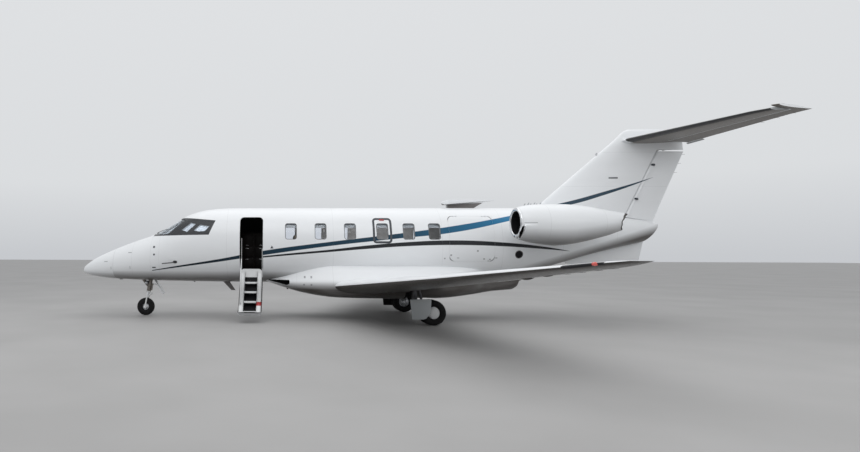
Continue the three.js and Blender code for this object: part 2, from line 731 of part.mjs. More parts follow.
function buildNacelles() {
  const axis = (made) => made.translate([0, -ENGINE.y, ENGINE.z]);
  const profile = NACELLE.map(([s, r]) => [at(s), r]);
  const ring = turned([...profile, profile[0]]);
  const outerProfile = (swell) => [
    [at(ENGINE.inlet - 10), 0],
    ...NACELLE.slice(0, OUTSIDE_ROWS).map(([s, r]) => [at(s), r + swell]),
    [at(ENGINE.nozzle + 10), 0],
  ];
  const scoopAt = (s, r) => [at(s), r];
  const bulge = turned(
    [
      [at(SCOOP.from), 0],
      scoopAt(SCOOP.from, SCOOP.radius - 12),
      scoopAt(SCOOP.from + 40, SCOOP.radius),
      scoopAt(SCOOP.from + 500, SCOOP.radius + 5),
      scoopAt(SCOOP.to, SCOOP.radius - 50),
      [at(SCOOP.to), 0],
    ],
    16,
  );
  const mouth = turned(
    [
      [at(SCOOP.from) - 20, 0],
      scoopAt(SCOOP.from - 20, SCOOP.radius - 28),
      scoopAt(SCOOP.from + 300, SCOOP.radius - 60),
      [at(SCOOP.from) + 300, 0],
    ],
    16,
  );
  const placed = (made) =>
    made.scale(SCOOP.squash).translate([0, -SCOOP.reach, 0]).rotate([SCOOP.below, 0, 0]);
  const duct = turned([
    [at(11000), 0],
    [at(11000), DUCT_RADIUS + 25],
    [at(14300), DUCT_RADIUS + 25],
    [at(14300), 0],
  ]);
  const scoop = placed(bulge).subtract(duct);
  const bowl = placed(mouth).subtract(duct);
  pair("nacelle", axis(ring.add(scoop).subtract(bowl)), paint);
  const core = turned(
    [
      [at(ENGINE.fan - 30), 0],
      [at(ENGINE.fan - 30), 30],
      [at(12062), 30],
      [at(12062), 120],
      [at(12120), 150],
      [at(12150), DUCT_RADIUS - SEAT],
      [at(12195), DUCT_RADIUS - SEAT],
      [at(12240), 250],
      [at(13000), 230],
      [at(13500), 165],
      [at(13500), 115],
      [at(13950), 0],
    ],
  );
  pair("engine_core", axis(core), steel);
  pair("fan", axis(buildFan()), steel);
  const PYLON = [
    [0, 11950, 13950, 0, 0.09],
    [2000, 11950, 13750, 0, 0.09],
  ];
  const beam = loft(surfaceLoops(PYLON)).translate([0, 0, ENGINE.z - 60]);
  const keep = box(at(11000), at(15000), -ENGINE.y, -300, 1800, 3000);
  const pylon = beam
    .intersect(keep)
    .subtract(hull(11000, 15900, -SEAT))
    .subtract(axis(turned(outerProfile(SEAT))));
  pair("pylon", pylon, paint);
}

function buildFan() {
  const ROOT_RADIUS = 95;
  const spinner = turned(
    [
      [at(ENGINE.fan - 190), 0],
      [at(ENGINE.fan - 150), 45],
      [at(ENGINE.fan - 60), ROOT_RADIUS],
      [at(ENGINE.fan + 150), ROOT_RADIUS],
      [at(ENGINE.fan + 150), 31],
      [at(ENGINE.fan - 40), 31],
      [at(ENGINE.fan - 40), 0],
    ],
    14,
  );
  const blades = Array.from({ length: FAN_BLADES }, (_, i) => {
    const geometry = new THREE.BoxGeometry(110, 8, FAN_RADIUS - ROOT_RADIUS + 30);
    geometry.translate(0, 0, (FAN_RADIUS + ROOT_RADIUS - 30) / 2);
    geometry.rotateZ(THREE.MathUtils.degToRad(35));
    geometry.rotateX((i * 2 * Math.PI) / FAN_BLADES);
    return solid(geometry.translate(at(ENGINE.fan) + 30, 0, 0));
  });
  return join(spinner, ...blades);
}

// A tyre and rim as one turned wheel about the Y axis, at a hub
function wheel(hub, radius, half, rim, bore) {
  const tyre = [
    // place along the axle, radius
    [-half * 0.55, bore],
    [-half * 0.55, rim * 0.9],
    [-half, rim + (radius - rim) * 0.35],
    [-half * 0.85, rim + (radius - rim) * 0.85],
    [-half * 0.3, radius],
    [half * 0.3, radius],
    [half * 0.85, rim + (radius - rim) * 0.85],
    [half, rim + (radius - rim) * 0.35],
    [half * 0.55, rim * 0.9],
    [half * 0.55, bore],
  ];
  const points = [...tyre, tyre[0]].map(([x, r]) => new THREE.Vector2(r, x));
  return solid(new THREE.LatheGeometry(points, 24).translate(...hub));
}

function buildNoseGear() {
  const toward = (share) => noseLegTop.map((v, k) => v + share * (noseHub[k] - v));
  const COLLAR = 0.46; // share of the way down where the steered part takes over
  const brace = bar([at(1560), 0, 1200], toward(0.36), 26, 26, 10);
  const pin = (station, z, radius) =>
    bar([at(station), -BAY.half + SEAT, z], [at(station), BAY.half - SEAT, z], radius, radius, 12);
  const neck = bar([noseLegTop[0], 0, 1190], toward(0.1), 62, 62, 14);
  const leg = join(
    neck,
    bar(toward(0), toward(COLLAR), 58, 58, 14),
    brace,
    pin(1560, 1200, 26),
    pin(NOSE_LEG_TOP.station, 1180, 34),
  );
  piece("nose_leg", leg, grey);
  const seat = COLLAR + SEAT / 800;
  const crown = toward(0.655);
  const arms = [-1, 1].flatMap((sign) => {
    const y = sign * (NOSE_WHEEL.half + 28);
    return [
      bar([crown[0], y, crown[2]], [noseHub[0], y, noseHub[2]], 20, 26, 8),
      bar([noseHub[0], y - 16, noseHub[2]], [noseHub[0], y + 16, noseHub[2]], 44, 44, 12),
    ];
  });
  const bridge = bar([crown[0], -NOSE_WHEEL.half - 42, crown[2]], [crown[0], NOSE_WHEEL.half + 42, crown[2]], 30, 30, 12);
  const axle = bar([noseHub[0], -100, noseHub[2]], [noseHub[0], 100, noseHub[2]], 17.5, 17.5, 12);
  const piston = bar(toward(seat), crown, 36, 36, 12);
  const collar = bar(toward(seat), toward(seat + 0.05), 62, 62, 14);
  const aft = (share, by) => toward(share).map((v, k) => v + (k === 0 ? by : 0));
  const link = join(
    bar(toward(seat + 0.03), aft(0.56, 120), 13, 13, 8),
    bar(aft(0.56, 120), aft(0.645, 20), 13, 13, 8),
  );
  piece("nose_fork", join(piston, collar, bridge, ...arms, axle, link), grey);
  piece("nose_wheel", wheel(noseHub, NOSE_WHEEL.radius, NOSE_WHEEL.half, 125, 18), rubber);
  const DOOR_PANEL = [
    [2075, 985],
    [2088, 992],
    [2330, 612],
    [2316, 604],
  ];
  const panel = plate(DOOR_PANEL.map(([s, z]) => [at(s), z]), "xz", -140, 140);
  const rod = bar([at(2150), 0, 860], [at(1990), 0, 880], 12, 12, 8);
  const keep = bar(toward(0), toward(COLLAR), 58.5, 58.5, 14);
  piece("nose_gear_door", join(panel, rod).subtract(keep).subtract(hull(1600, 3500, -SEAT)), paint);
}

const wingSeat = () => loft(surfaceLoops(WING, SEAT));

function buildMainGear() {
  const { station, radius, half, inner, outer } = MAIN_WHEEL;
  const AXLE = 38;
  const middle = -(inner + outer) / 2;
  const hub = (y) => [at(station), y, radius];
  const wheels = join(
    wheel(hub(-inner), radius, half, 165, AXLE - 2),
    wheel(hub(-outer), radius, half, 165, AXLE - 2),
    bar(hub(-inner + half * 0.6), hub(-outer - half * 0.6), AXLE, AXLE, 14),
  );
  pair("main_wheels", wheels, rubber);
  const knee = [at(MAIN_LEG.station), middle, 430];
  const eye = bar(hub(middle - 38), hub(middle + 38), 62, 62, 14).subtract(
    bar(hub(middle - 60), hub(middle + 60), AXLE + 1, AXLE + 1, 14),
  );
  const near = [at(station) - 52, middle, radius + 14];
  const leg = join(
    bar([knee[0], middle, 960], knee, 68, 60, 12),
    bar([knee[0], middle - 40, 430], [knee[0], middle + 40, 430], 66, 66, 12),
    bar(knee, near, 38, 36, 12),
    eye,
    bar([at(9040), middle, 960], [at(9185), middle, 380], 36, 30, 12),
    bar([knee[0], middle, 560], [knee[0], -1955, 560], 14, 14, 8),
    bar([knee[0], middle, 440], [knee[0], -1955, 440], 14, 14, 8),
    bar([knee[0], middle, 640], [knee[0], -1270, 900], 30, 30, 10),
  );
  pair("main_leg", leg.subtract(wingSeat()).subtract(gearPanel(SEAT)), steel);
  pair("main_gear_door", gearPanel(0), paint);
}

// The door panel that hangs on each main leg
const GEAR_PANEL = [
  [8780, 640],
  [8830, 160],
  [9090, 160],
  [9270, 310],
  [9290, 655],
];

function gearPanel(swell) {
  const outline = GEAR_PANEL.map(([s, z]) => [at(s), z]);
  return plate(outline, "xz", -1968 - swell, -1948 + swell);
}

function buildTail() {
  const BULKHEAD = 15000; // the tail is hollow ahead of it
  const hollow = hull(CABIN_END - 10, BULKHEAD, WALL);
  const [[lowStation, lowZ], [highStation, highZ]] = [TAIL_END.low, TAIL_END.high];
  const lean = (highStation - lowStation) / (highZ - lowZ);
  const beyond = [
    [at(lowStation - 300 * lean), lowZ - 300],
    [at(lowStation - 300 * lean) + 1500, lowZ - 300],
    [at(highStation + 300 * lean) + 1500, highZ + 300],
    [at(highStation + 300 * lean), highZ + 300],
  ];
  const cone = hull(CABIN_END, SKIN[SKIN.length - 1][0]).subtract(hollow);
  piece("tail_body", cone.subtract(plate(beyond, "xz", -600, 600)), paint);
}

// Glass for all the windows of one side, each pane carried by a strip behind the wall
function buildWindows() {
  const STRIP = { from: 5700, to: 9870, low: 2120, high: 2570, thickness: 6 };
  const inner = hull(STRIP.from, STRIP.to, WALL + SEAT).subtract(
    hull(STRIP.from - 10, STRIP.to + 10, WALL + SEAT + STRIP.thickness),
  );
  const strip = inner.intersect(box(at(STRIP.from), at(STRIP.to), -1000, -500, STRIP.low, STRIP.high));
  const depth = hull(STRIP.from, STRIP.to, 14).subtract(
    hull(STRIP.from - 10, STRIP.to + 10, WALL + SEAT + STRIP.thickness),
  );
  const FIT = 0.998;
  const panes = WINDOW_STATIONS.map((station) => {
    const prism = windowPrism(0, -1000, -500).translate([-at(0), 0, -WINDOW.z]);
    return prism.scale([FIT, 1, FIT]).translate([at(station), 0, WINDOW.z]).intersect(depth);
  });
  pair("cabin_windows", join(strip, ...panes), glass);
}

// The airstair door: its panel is cut from the cabin wall, then swung out and down about its lower edge
const STAIR_ANGLE = 138.5;

function buildAirstair(panel) {
  const edge = [at(DOOR.from), at(DOOR.to)];
  const inner = hull(COCKPIT_END + 10, 5600, WALL - 6);
  const stringer = (x) => box(x - 55, x + 55, -930, -700, DOOR.sill + 25, DOOR.top - 60).intersect(inner);
  const leaf = panel.subtract(stairHinge.movingCut).add(stairHinge.moving);
  const closed = join(leaf, stringer(edge[0] + 95), stringer(edge[1] - 95));
  const swung = closed
    .translate([0, -STAIR_HINGE.y, -STAIR_HINGE.z])
    .rotate([STAIR_ANGLE, 0, 0])
    .translate([0, STAIR_HINGE.y, STAIR_HINGE.z]);
  const RISE = 235;
  const TOP_STEP = 1235; // the edge of the sill plate, one rise above the first tread
  const slope = Math.tan(THREE.MathUtils.degToRad(STAIR_ANGLE - 90));
  const treads = [1, 2, 3, 4].map((step) => {
    const z = TOP_STEP - step * RISE;
    const y = STAIR_HINGE.y - (STAIR_HINGE.z - z) / slope;
    return box(edge[0] + 120, edge[1] - 120, y - 40, y + 150, z - 26, z);
  });
  const rail = [
    [edge[0] + 70, -1480, 440],
    [edge[0] + 70, -1520, 1130],
    [edge[0] + 70, -1210, 1600],
  ];
  const rails = [bar(rail[0], rail[1], 13, 13, 10), bar(rail[1], rail[2], 13, 13, 10)];
  piece("airstair_door", join(swung, ...treads, ...rails), paint);
}

// Flat antenna housing on the roof
function buildRoofFairing() {
  const FOOT = [
    [10240, 2990],
    [10930, 2990],
    [11270, 3190],
    [10240, 3140],
  ];
  const foot = plate(FOOT.map(([s, z]) => [at(s), z]), "xz", -45, 45);
  const WEDGE = [
    // the housing from the side: thick at the front and thin at its tail
    [10090, 3170],
    [10160, 3122],
    [11540, 3236],
    [11540, 3252],
    [10300, 3252],
    [10140, 3225],
  ];
  const wedge = plate(WEDGE.map(([s, z]) => [at(s), z]), "xz", -200, 200);
  const PLATE = [
    [10100, 0],
    [10160, 110],
    [10320, 160],
    [10800, 130],
    [11530, 12],
    [11530, -12],
    [10800, -130],
    [10320, -160],
    [10160, -110],
  ];
  const flat = plate(PLATE.map(([s, y]) => [at(s), y]), "xy", 3100, 3260).intersect(wedge);
  piece("roof_antenna", foot.add(flat).subtract(hull(4600, 13200, -SEAT)), paint);
}

buildNose();
buildCockpit();
buildAirstair(buildCabin());
buildInterior();
buildFairing();
buildWing();
buildTailplane();
buildFin();
buildTail();
buildWindows();
buildNacelles();
buildNoseGear();
buildMainGear();
buildRoofFairing();

export default root;
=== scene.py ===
import math
import bpy
import bmesh
import numpy as np
from mathutils import Matrix, Vector
from mathutils.geometry import normal


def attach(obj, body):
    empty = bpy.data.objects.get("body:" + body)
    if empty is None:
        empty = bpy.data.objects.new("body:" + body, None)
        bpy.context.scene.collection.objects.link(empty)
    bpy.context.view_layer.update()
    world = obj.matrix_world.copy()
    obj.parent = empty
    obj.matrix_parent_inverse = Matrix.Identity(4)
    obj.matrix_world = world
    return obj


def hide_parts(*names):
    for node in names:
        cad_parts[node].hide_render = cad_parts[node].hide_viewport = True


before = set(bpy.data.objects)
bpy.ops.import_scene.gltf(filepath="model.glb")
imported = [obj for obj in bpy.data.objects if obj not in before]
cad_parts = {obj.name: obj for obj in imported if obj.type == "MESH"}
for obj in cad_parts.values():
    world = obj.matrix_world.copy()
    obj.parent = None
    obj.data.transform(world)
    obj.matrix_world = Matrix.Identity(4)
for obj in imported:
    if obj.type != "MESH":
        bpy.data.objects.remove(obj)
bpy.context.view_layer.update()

LENGTH = 16.85
HALF_SPAN = 8.5
WALL = 0.08
DOOR_GAP = 0.008
SKIN_POWER = 2.2
AROUND = 128  # points round a fuselage section
BEVEL_FROM = 30  # degrees: bevelled() rounds the edges that are sharper than this


def at(station):
    return station - LENGTH / 2


def linked(name, data):
    obj = bpy.data.objects.new(name, data)
    bpy.context.scene.collection.objects.link(obj)
    return obj


# ---- Camera and light

CAMERA = dict(station=5.6991, y=-15.7573, z=1.7069, yaw=-0.0507, pitch=0.0521, roll=0.0033)
FOCAL = 557.61  # in pixels of the picture, which is 860 wide
MIDDLE = 254.96  # the pixel column that the camera's axis meets
PICTURE = 860
SENSOR = 36
DAYLIGHT, WARM = (1, 1, 1), (1.0, 0.97, 0.92)
LAMPS = [  # name, place, target, size, power, colour
    ("key", (at(4), -11, 13), (at(8.5), 0, 2), (16, 8), 620, DAYLIGHT),
    ("top", (at(9), 2, 14), (at(9), 0, 2), (20, 12), 540, DAYLIGHT),
    ("cabin lamps", (at(8.3), 0, 2.90), (at(8.3), 0, 1.3), (3.0, 0.1), 14, WARM),
    ("fill", (at(19), -12, 6), (at(13), 0, 3), (8, 5), 120, DAYLIGHT),
]
SKY = [(0.0, (0.42, 0.44, 0.47)), (0.5, (0.66, 0.68, 0.71)), (0.56, (0.82, 0.84, 0.86)), (1.0, (0.93, 0.94, 0.96))]
SKY_STRENGTH = 0.86
FLOOR_REACH = 160
FLOOR_TONES = ((0.345, 0.34, 0.335), (0.38, 0.375, 0.37))


def make_camera():
    data = bpy.data.cameras.new("camera")
    cam = linked("camera", data)
    yaw, pitch, roll = CAMERA["yaw"], CAMERA["pitch"], CAMERA["roll"]
    ahead = Vector((math.sin(yaw) * math.cos(pitch), math.cos(yaw) * math.cos(pitch), math.sin(pitch)))
    right = Vector((math.cos(yaw), -math.sin(yaw), 0))
    up = right.cross(ahead)
    side = right * math.cos(roll) + up * math.sin(roll)
    top = up * math.cos(roll) - right * math.sin(roll)
    turn = Matrix((side, top, -ahead)).transposed().to_4x4()
    cam.matrix_world = Matrix.Translation((at(CAMERA["station"]), CAMERA["y"], CAMERA["z"])) @ turn
    data.sensor_width = SENSOR
    data.lens = SENSOR * FOCAL / PICTURE
    data.shift_x = (PICTURE / 2 - MIDDLE) / PICTURE
    data.clip_end = 500
    data.dof.use_dof = False
    bpy.context.scene.camera = cam


def make_stage():
    scene = bpy.context.scene
    scene.view_settings.view_transform = "Standard"
    scene.world = bpy.data.worlds.new("sky")
    scene.world.use_nodes = True
    sky = Graph(scene.world, "Background")
    up = sky.split(sky.node("TexCoord").outputs["Generated"])[2]
    ramp = sky.node("ValToRGB", Fac=up.ramp(-1, 1))
    elements = ramp.color_ramp.elements
    for element, (position, colour) in ((elements[0], SKY[0]), (elements[1], SKY[-1])):
        element.position = position
        element.color = (*colour, 1)
    for position, colour in SKY[1:-1]:
        elements.new(position).color = (*colour, 1)
    sky.feed(sky.shader.inputs["Strength"], SKY_STRENGTH)
    sky.links.new(ramp.outputs[0], sky.shader.inputs["Color"])
    for name, place, target, size, power, colour in LAMPS:
        data = bpy.data.lights.new(name, "AREA")
        data.shape = "RECTANGLE"
        data.size, data.size_y = size
        data.energy = power
        data.color = colour
        lamp = linked(name, data)
        lamp.location = place
        lamp.rotation_euler = (Vector(target) - Vector(place)).to_track_quat("-Z", "Y").to_euler()
    corners = [(x * FLOOR_REACH, y * FLOOR_REACH, 0) for x, y in ((-1, -1), (1, -1), (1, 1), (-1, 1))]
    floor = mesh_of(Shape(corners, [(0, 1, 2, 3)]), "floor")
    graph = new_graph("floor", (0.36, 0.355, 0.35), 0.62)
    graph.colour(graph.mix(graph.noise(0.35, 3).ramp(0.35, 0.65), *FLOOR_TONES))
    floor.materials.append(graph.owner)
    linked("floor", floor)


# ---- Material graphs: a small language for node mathematics

class Wire:
    def __init__(self, graph, socket):
        self.graph, self.socket = graph, socket

    def op(self, operation, *others):
        node = self.graph.node("Math", operation=operation)
        for i, value in enumerate((self, *others)):
            self.graph.feed(node.inputs[i], value)
        return Wire(self.graph, node.outputs[0])

    def __add__(self, other): return self.op("ADD", other)
    def __sub__(self, other): return self.op("SUBTRACT", other)
    def __mul__(self, other): return self.op("MULTIPLY", other)
    def __neg__(self): return self.op("MULTIPLY", -1)

    def size(self): return self.op("ABSOLUTE")
    def max(self, other): return self.op("MAXIMUM", other)
    def min(self, other): return self.op("MINIMUM", other)

    def ramp(self, low, high, out_low=0.0, out_high=1.0):
        node = self.graph.node("MapRange", Value=self, From_Min=low, From_Max=high, To_Min=out_low, To_Max=out_high)
        return Wire(self.graph, node.outputs["Result"])

    def above(self, edge, soft=0.003):
        """1 where the value is over an edge, which may be a wire."""
        return (self - edge).ramp(-soft, soft)

    def line(self, places, half=0.003):
        """1 on thin lines where the value is one of these places."""
        near = [(self - place).size() for place in places]
        least = near[0]
        for one in near[1:]:
            least = least.min(one)
        return least.ramp(half, half * 1.8, 1, 0)


class Graph:
    """The nodes of a material or a world, whose shader is fed by wires."""

    def __init__(self, owner, shader="Principled BSDF"):
        self.owner = owner
        self.nodes, self.links = owner.node_tree.nodes, owner.node_tree.links
        self.shader = self.nodes[shader]
        self.place = None

    def node(self, kind, **values):
        """A new node. Small names are its settings and capital ones its inputs, with _ for a space."""
        made = self.nodes.new("ShaderNode" + kind)
        for name, value in values.items():
            if name[0].islower():
                setattr(made, name, value)
            else:
                self.feed(made.inputs[name.replace("_", " ")], value)
        return made

    def feed(self, socket, value):
        if isinstance(value, Wire):
            self.links.new(value.socket, socket)
        elif hasattr(value, "__len__") and len(socket.default_value) == 4:
            socket.default_value = (*value, 1)
        else:
            socket.default_value = value

    def split(self, socket):
        node = self.node("SeparateXYZ", Vector=Wire(self, socket))
        return [Wire(self, node.outputs[k]) for k in range(3)]

    def where(self):
        """Object coordinates as x, y and z wires."""
        if self.place is None:
            self.vector = Wire(self, self.node("TexCoord").outputs["Object"])
            self.place = self.split(self.vector.socket)
        return self.place

    def turned(self, centre, angle):
        """Turns the x, y and z wires about an axis along X."""
        self.where()
        node = self.node("VectorRotate", rotation_type="X_AXIS", Vector=self.vector, Center=centre, Angle=angle)
        self.place = self.split(node.outputs[0])

    def noise(self, scale, detail=2, stretch=(1, 1, 1)):
        self.where()
        vector = self.vector
        if stretch != (1, 1, 1):
            vector = Wire(self, self.node("Mapping", Vector=vector, Scale=stretch).outputs[0])
        return Wire(self, self.node("TexNoise", Vector=vector, Scale=scale, Detail=detail).outputs["Fac"])

    def cells(self, scale):
        self.where()
        node = self.node("TexVoronoi", feature="DISTANCE_TO_EDGE", Vector=self.vector, Scale=scale)
        return Wire(self, node.outputs["Distance"])

    def curve(self, wire, points, low, high):
        """A smooth curve through (place, value) points; values run from low to high."""
        start, end = points[0][0], points[-1][0]
        node = self.node("FloatCurve", Value=wire.ramp(start, end))
        line = node.mapping.curves[0]
        shares = [((p - start) / (end - start), (v - low) / (high - low)) for p, v in points]
        for place, value in shares[1:-1]:
            line.points.new(place, value)
        line.points[0].location = shares[0]
        line.points[-1].location = shares[-1]
        node.mapping.update()
        return Wire(self, node.outputs[0]) * (high - low) + low

    def mix(self, share, first, second):
        node = self.node("Mix", data_type="RGBA")
        for k, value in ((0, share), (6, first), (7, second)):
            self.feed(node.inputs[k], value)
        return Wire(self, node.outputs[2])

    def colour(self, wire): self.feed(self.shader.inputs["Base Color"], wire)
    def rough(self, wire): self.feed(self.shader.inputs["Roughness"], wire)

    def bump(self, height, strength, distance):
        node = self.node("Bump", Strength=strength, Distance=distance, Height=height)
        self.links.new(node.outputs[0], self.shader.inputs["Normal"])


def new_graph(name, colour, roughness, metallic=0.0, **inputs):
    material = bpy.data.materials.new(name)
    material.use_nodes = True
    material.diffuse_color = (*colour, 1)
    graph = Graph(material)
    for key, value in dict(Base_Color=colour, Roughness=roughness, Metallic=metallic, **inputs).items():
        graph.feed(graph.shader.inputs[key.replace("_", " ")], value)
    return graph


WHITE = (0.80, 0.815, 0.83)
BLUE = (0.0005, 0.030, 0.058)
BLUE_FORE = (0.0003, 0.010, 0.018)
BLUE_AFT = (0.003, 0.150, 0.310)
CHARCOAL = (0.012, 0.014, 0.017)
# Painted shade with a little soil, for the lower parts of the body, nacelles and fairing.
SHADE_AND_SOIL = (0.052, 0.043, 0.036)
SEAM, MARK = (0.18, 0.18, 0.185), (0.10, 0.10, 0.105)
MASK = (0.026, 0.029, 0.033)

# Stripes along the fuselage and up the fin: station, lowest z, highest z
BLUE_STRIPE = [
    (2.13, 1.270, 1.290), (2.92, 1.379, 1.423), (4.01, 1.530, 1.602), (5.19, 1.710, 1.824),
    (6.93, 1.953, 2.061), (8.60, 2.141, 2.265), (10.18, 2.320, 2.488), (11.67, 2.633, 2.762), (12.9, 2.93, 3.04),
]
CHARCOAL_STRIPE = [
    (4.60, 1.590, 1.622), (5.88, 1.705, 1.755), (6.93, 1.795, 1.856), (7.91, 1.879, 1.969), (8.89, 1.950, 2.055),
    (10.14, 1.987, 2.107), (11.37, 1.958, 2.059), (12.40, 1.895, 1.962), (13.22, 1.836, 1.840),
]
FIN_STRIPE = [
    (12.8, 2.98, 3.05), (13.61, 3.125, 3.229), (14.42, 3.365, 3.458), (15.24, 3.646, 3.694), (15.82, 3.872, 3.874),
]
STRIPE_HIGHEST = 5


def stripe(graph, table):
    x, _, z = graph.where()
    station = x + LENGTH / 2
    low, high = (graph.curve(station, [(row[0], row[k]) for row in table], 0, STRIPE_HIGHEST) for k in (1, 2))
    inside = station.above(table[0][0]) * (-station).above(-table[-1][0])
    return z.above(low) * (-z).above(-high) * inside


def marked(graph, table):
    """Small dark ports as oblong marks from rows of station, z, half width and half height."""
    x, _, z = graph.where()
    found = None
    for station, height, wide, tall in table:
        spot = (-(x - at(station)).size() + wide).min(-(z - height).size() + tall).above(0)
        found = found.max(spot) if found else spot
    return found


def paint(name, base=WHITE, stripes=(), joints=(), levels=(), turn=None, belly=None, marks=()):
    """Gloss paint: stripes, seams across the stations or along the levels, painted shade with a little soil low down,
    and fine waviness.

    belly is (z where the belly's painted shade and soil is full, z where it ends, how much of it, station from which
    both climb, climb a metre)."""
    graph = new_graph(name, base, 0.34, Coat_Weight=0.25, Coat_Roughness=0.16, Specular_IOR_Level=0.30)
    if turn:
        graph.turned(*turn)
    x, _, z = graph.where()
    cloud = graph.noise(1.3, 4, (0.35, 1, 1.4))
    tone = graph.mix(cloud.ramp(0.32, 0.7), [v * 0.955 for v in base], base)
    # Painted shade under the belly, in patches with a little soil: darker towards the bottom.
    if belly:
        full, end, amount, *climb = belly
        level = z - (x - at(climb[0])).max(0) * climb[1] if climb else z
        patches = graph.noise(3, 3, (0.2, 1, 1)).ramp(0.3, 0.7, 0.85, 1.0)
        tone = graph.mix(level.ramp(full, end, 1, 0) * patches * amount, tone, SHADE_AND_SOIL)
    for table, colour in stripes:
        if table is BLUE_STRIPE:
            colour = graph.mix(x.ramp(at(3.6), at(6.2)), BLUE_FORE, colour)
            colour = graph.mix(x.ramp(at(8.6), at(11.6)), colour, BLUE_AFT)
        tone = graph.mix(stripe(graph, table), tone, colour)
    if joints or levels:
        seams = (x + LENGTH / 2).line(joints) if joints else z.line(levels)
        tone = graph.mix(seams * 0.16, tone, SEAM)
    if marks:
        tone = graph.mix(marked(graph, marks) * 0.6, tone, MARK)
    graph.colour(tone)
    graph.rough(graph.noise(26, 3).ramp(0.3, 0.75, 0.28, 0.42))
    graph.bump(graph.noise(60, 2), 0.05, 0.002)
    return graph.owner


def cockpit_paint(name, **more):
    """Body paint with the dark surround of the glazing."""
    graph = Graph(paint(name, **more))
    x, _, z = graph.where()
    station = x + LENGTH / 2
    over_sill = z - (station * 0.0165 + 2.187)
    top = (station - 2.936).max(0) * -0.100 + 2.735
    ahead_of_end = ((z - 2.248) * 0.4255 + 3.705 - station).min(0.06)
    mask = over_sill.above(0) * (top - z).above(0) * ahead_of_end.above(0)
    base = Wire(graph, graph.shader.inputs["Base Color"].links[0].from_socket)
    graph.colour(graph.mix(mask, base, MASK))
    return graph.owner


def matter(name, colour, roughness, tone=None, rough=None, bump=None, **inputs):
    """A plain material with noise in its tone, roughness and height.

    tone is (noise, ramp's start, ramp's end, share of the colour in its dark places), rough is (noise,
    least, most) and bump is (noise, strength, distance); a noise is its scale, detail and stretch."""
    graph = new_graph(name, colour, roughness, **inputs)
    if tone:
        noise, low, high, dark = tone
        graph.colour(graph.mix(graph.noise(*noise).ramp(low, high), [v * dark for v in colour], colour))
    if rough:
        noise, least, most = rough
        graph.rough(graph.noise(*noise).ramp(0.3, 0.7, least, min(1, most)))
    if bump:
        noise, strength, distance = bump
        graph.bump(graph.noise(*noise), strength, distance)
    return graph


def metal(name, colour, roughness, brushed=(1, 1, 1)):
    grain = (90, 3, brushed)
    return matter(name, colour, roughness, (grain, 0.3, 0.7, 0.82), ((18, 3), roughness * 0.75, roughness * 1.35),
                  (grain, 0.08, 0.001), metallic=1.0).owner


def plastic(name, colour, roughness, scale=220, depth=0.15, shine=0.5):
    return matter(name, colour, roughness, ((9, 4), 0.3, 0.7, 0.8), ((30, 3), roughness * 0.85, roughness * 1.15),
                  ((scale, 2), depth, 0.001), Specular_IOR_Level=shine).owner


def tinted_glass(name, colour, clear):
    return matter(name, colour, 0.03, rough=((3, 2), 0.02, 0.06), Transmission_Weight=clear, IOR=1.2).owner


def rubber(name, colour, dust_colour):
    graph = matter(name, colour, 0.72, rough=((40, 3), 0.6, 0.85), bump=((180, 3), 0.25, 0.001), Specular_IOR_Level=0.2)
    graph.colour(graph.mix(graph.noise(14, 4).ramp(0.45, 0.8, 0, 0.25), colour, dust_colour))
    return graph.owner


def leather(name, colour):
    graph = matter(name, colour, 0.5, ((12, 4), 0.3, 0.75, 0.78), ((25, 2), 0.42, 0.58),
                   Sheen_Weight=0.15, Sheen_Roughness=0.5)
    graph.bump(graph.cells(160).ramp(0, 0.12), 0.35, 0.0012)
    return graph.owner


def carpet(name, colour):
    return matter(name, colour, 0.95, ((300, 2), 0.35, 0.65, 0.6), bump=((420, 2), 0.6, 0.004), Sheen_Weight=0.3).owner


# Lamps and screens glow; the cockpit's blinds also take this glow, which is painted light.
def lamp(name, colour, strength, base):
    graph = new_graph(name, base, 0.15, Coat_Weight=1.0, Emission_Color=colour, Emission_Strength=strength)
    graph.colour(graph.mix(graph.noise(40, 2), base, [v * 0.8 for v in base]))
    return graph.owner


# ---- Shapes: points and faces gathered in code, then made into pieces

class Shape:
    def __init__(self, points=(), faces=(), number=0):
        self.points, self.faces = [tuple(p) for p in points], [tuple(f) for f in faces]
        self.numbers = [number] * len(self.faces)

    def add(self, *others):
        for other in others:
            start = len(self.points)
            self.points += other.points
            self.faces += [tuple(start + i for i in face) for face in other.faces]
            self.numbers += other.numbers
        return self

    def numbered(self, number):
        self.numbers = [number] * len(self.faces)
        return self

    def renumbered(self, number, rule):
        """Gives a number to the faces that a rule picks by their corners and their number so far."""
        for f, face in enumerate(self.faces):
            if rule([self.points[i] for i in face], self.numbers[f]):
                self.numbers[f] = number
        return self

    def moved(self, matrix):
        self.points = [tuple(matrix @ Vector(p)) for p in self.points]
        return self

    def shifted(self, x, y, z):
        return self.moved(Matrix.Translation((x, y, z)))

    def turned(self, degrees, axis, centre=(0, 0, 0)):
        here = Matrix.Translation(centre)
        return self.moved(here @ Matrix.Rotation(math.radians(degrees), 4, Vector(axis)) @ here.inverted())

    def mirrored(self):
        made = Shape([(x, -y, z) for x, y, z in self.points], [face[::-1] for face in self.faces])
        made.numbers = list(self.numbers)
        return made


def gathered(*shapes):
    return Shape().add(*shapes)


def both_sides(shape):
    return gathered(shape, shape.mirrored())


def loft(loops, number=0, closed=False):
    """A skin over loops with the same number of points; closed joins the last loop to the first."""
    count = len(loops[0])
    loops = [*loops, loops[0]] if closed else loops
    points = [p for loop in loops for p in loop]
    faces = []
    for i in range(len(loops) - 1):
        for j in range(count):
            k = (j + 1) % count
            faces.append((i * count + j, i * count + k, (i + 1) * count + k, (i + 1) * count + j))
    if not closed:
        last = (len(loops) - 1) * count
        faces += [tuple(reversed(range(count))), tuple(range(last, last + count))]
    return Shape(points, faces, number)


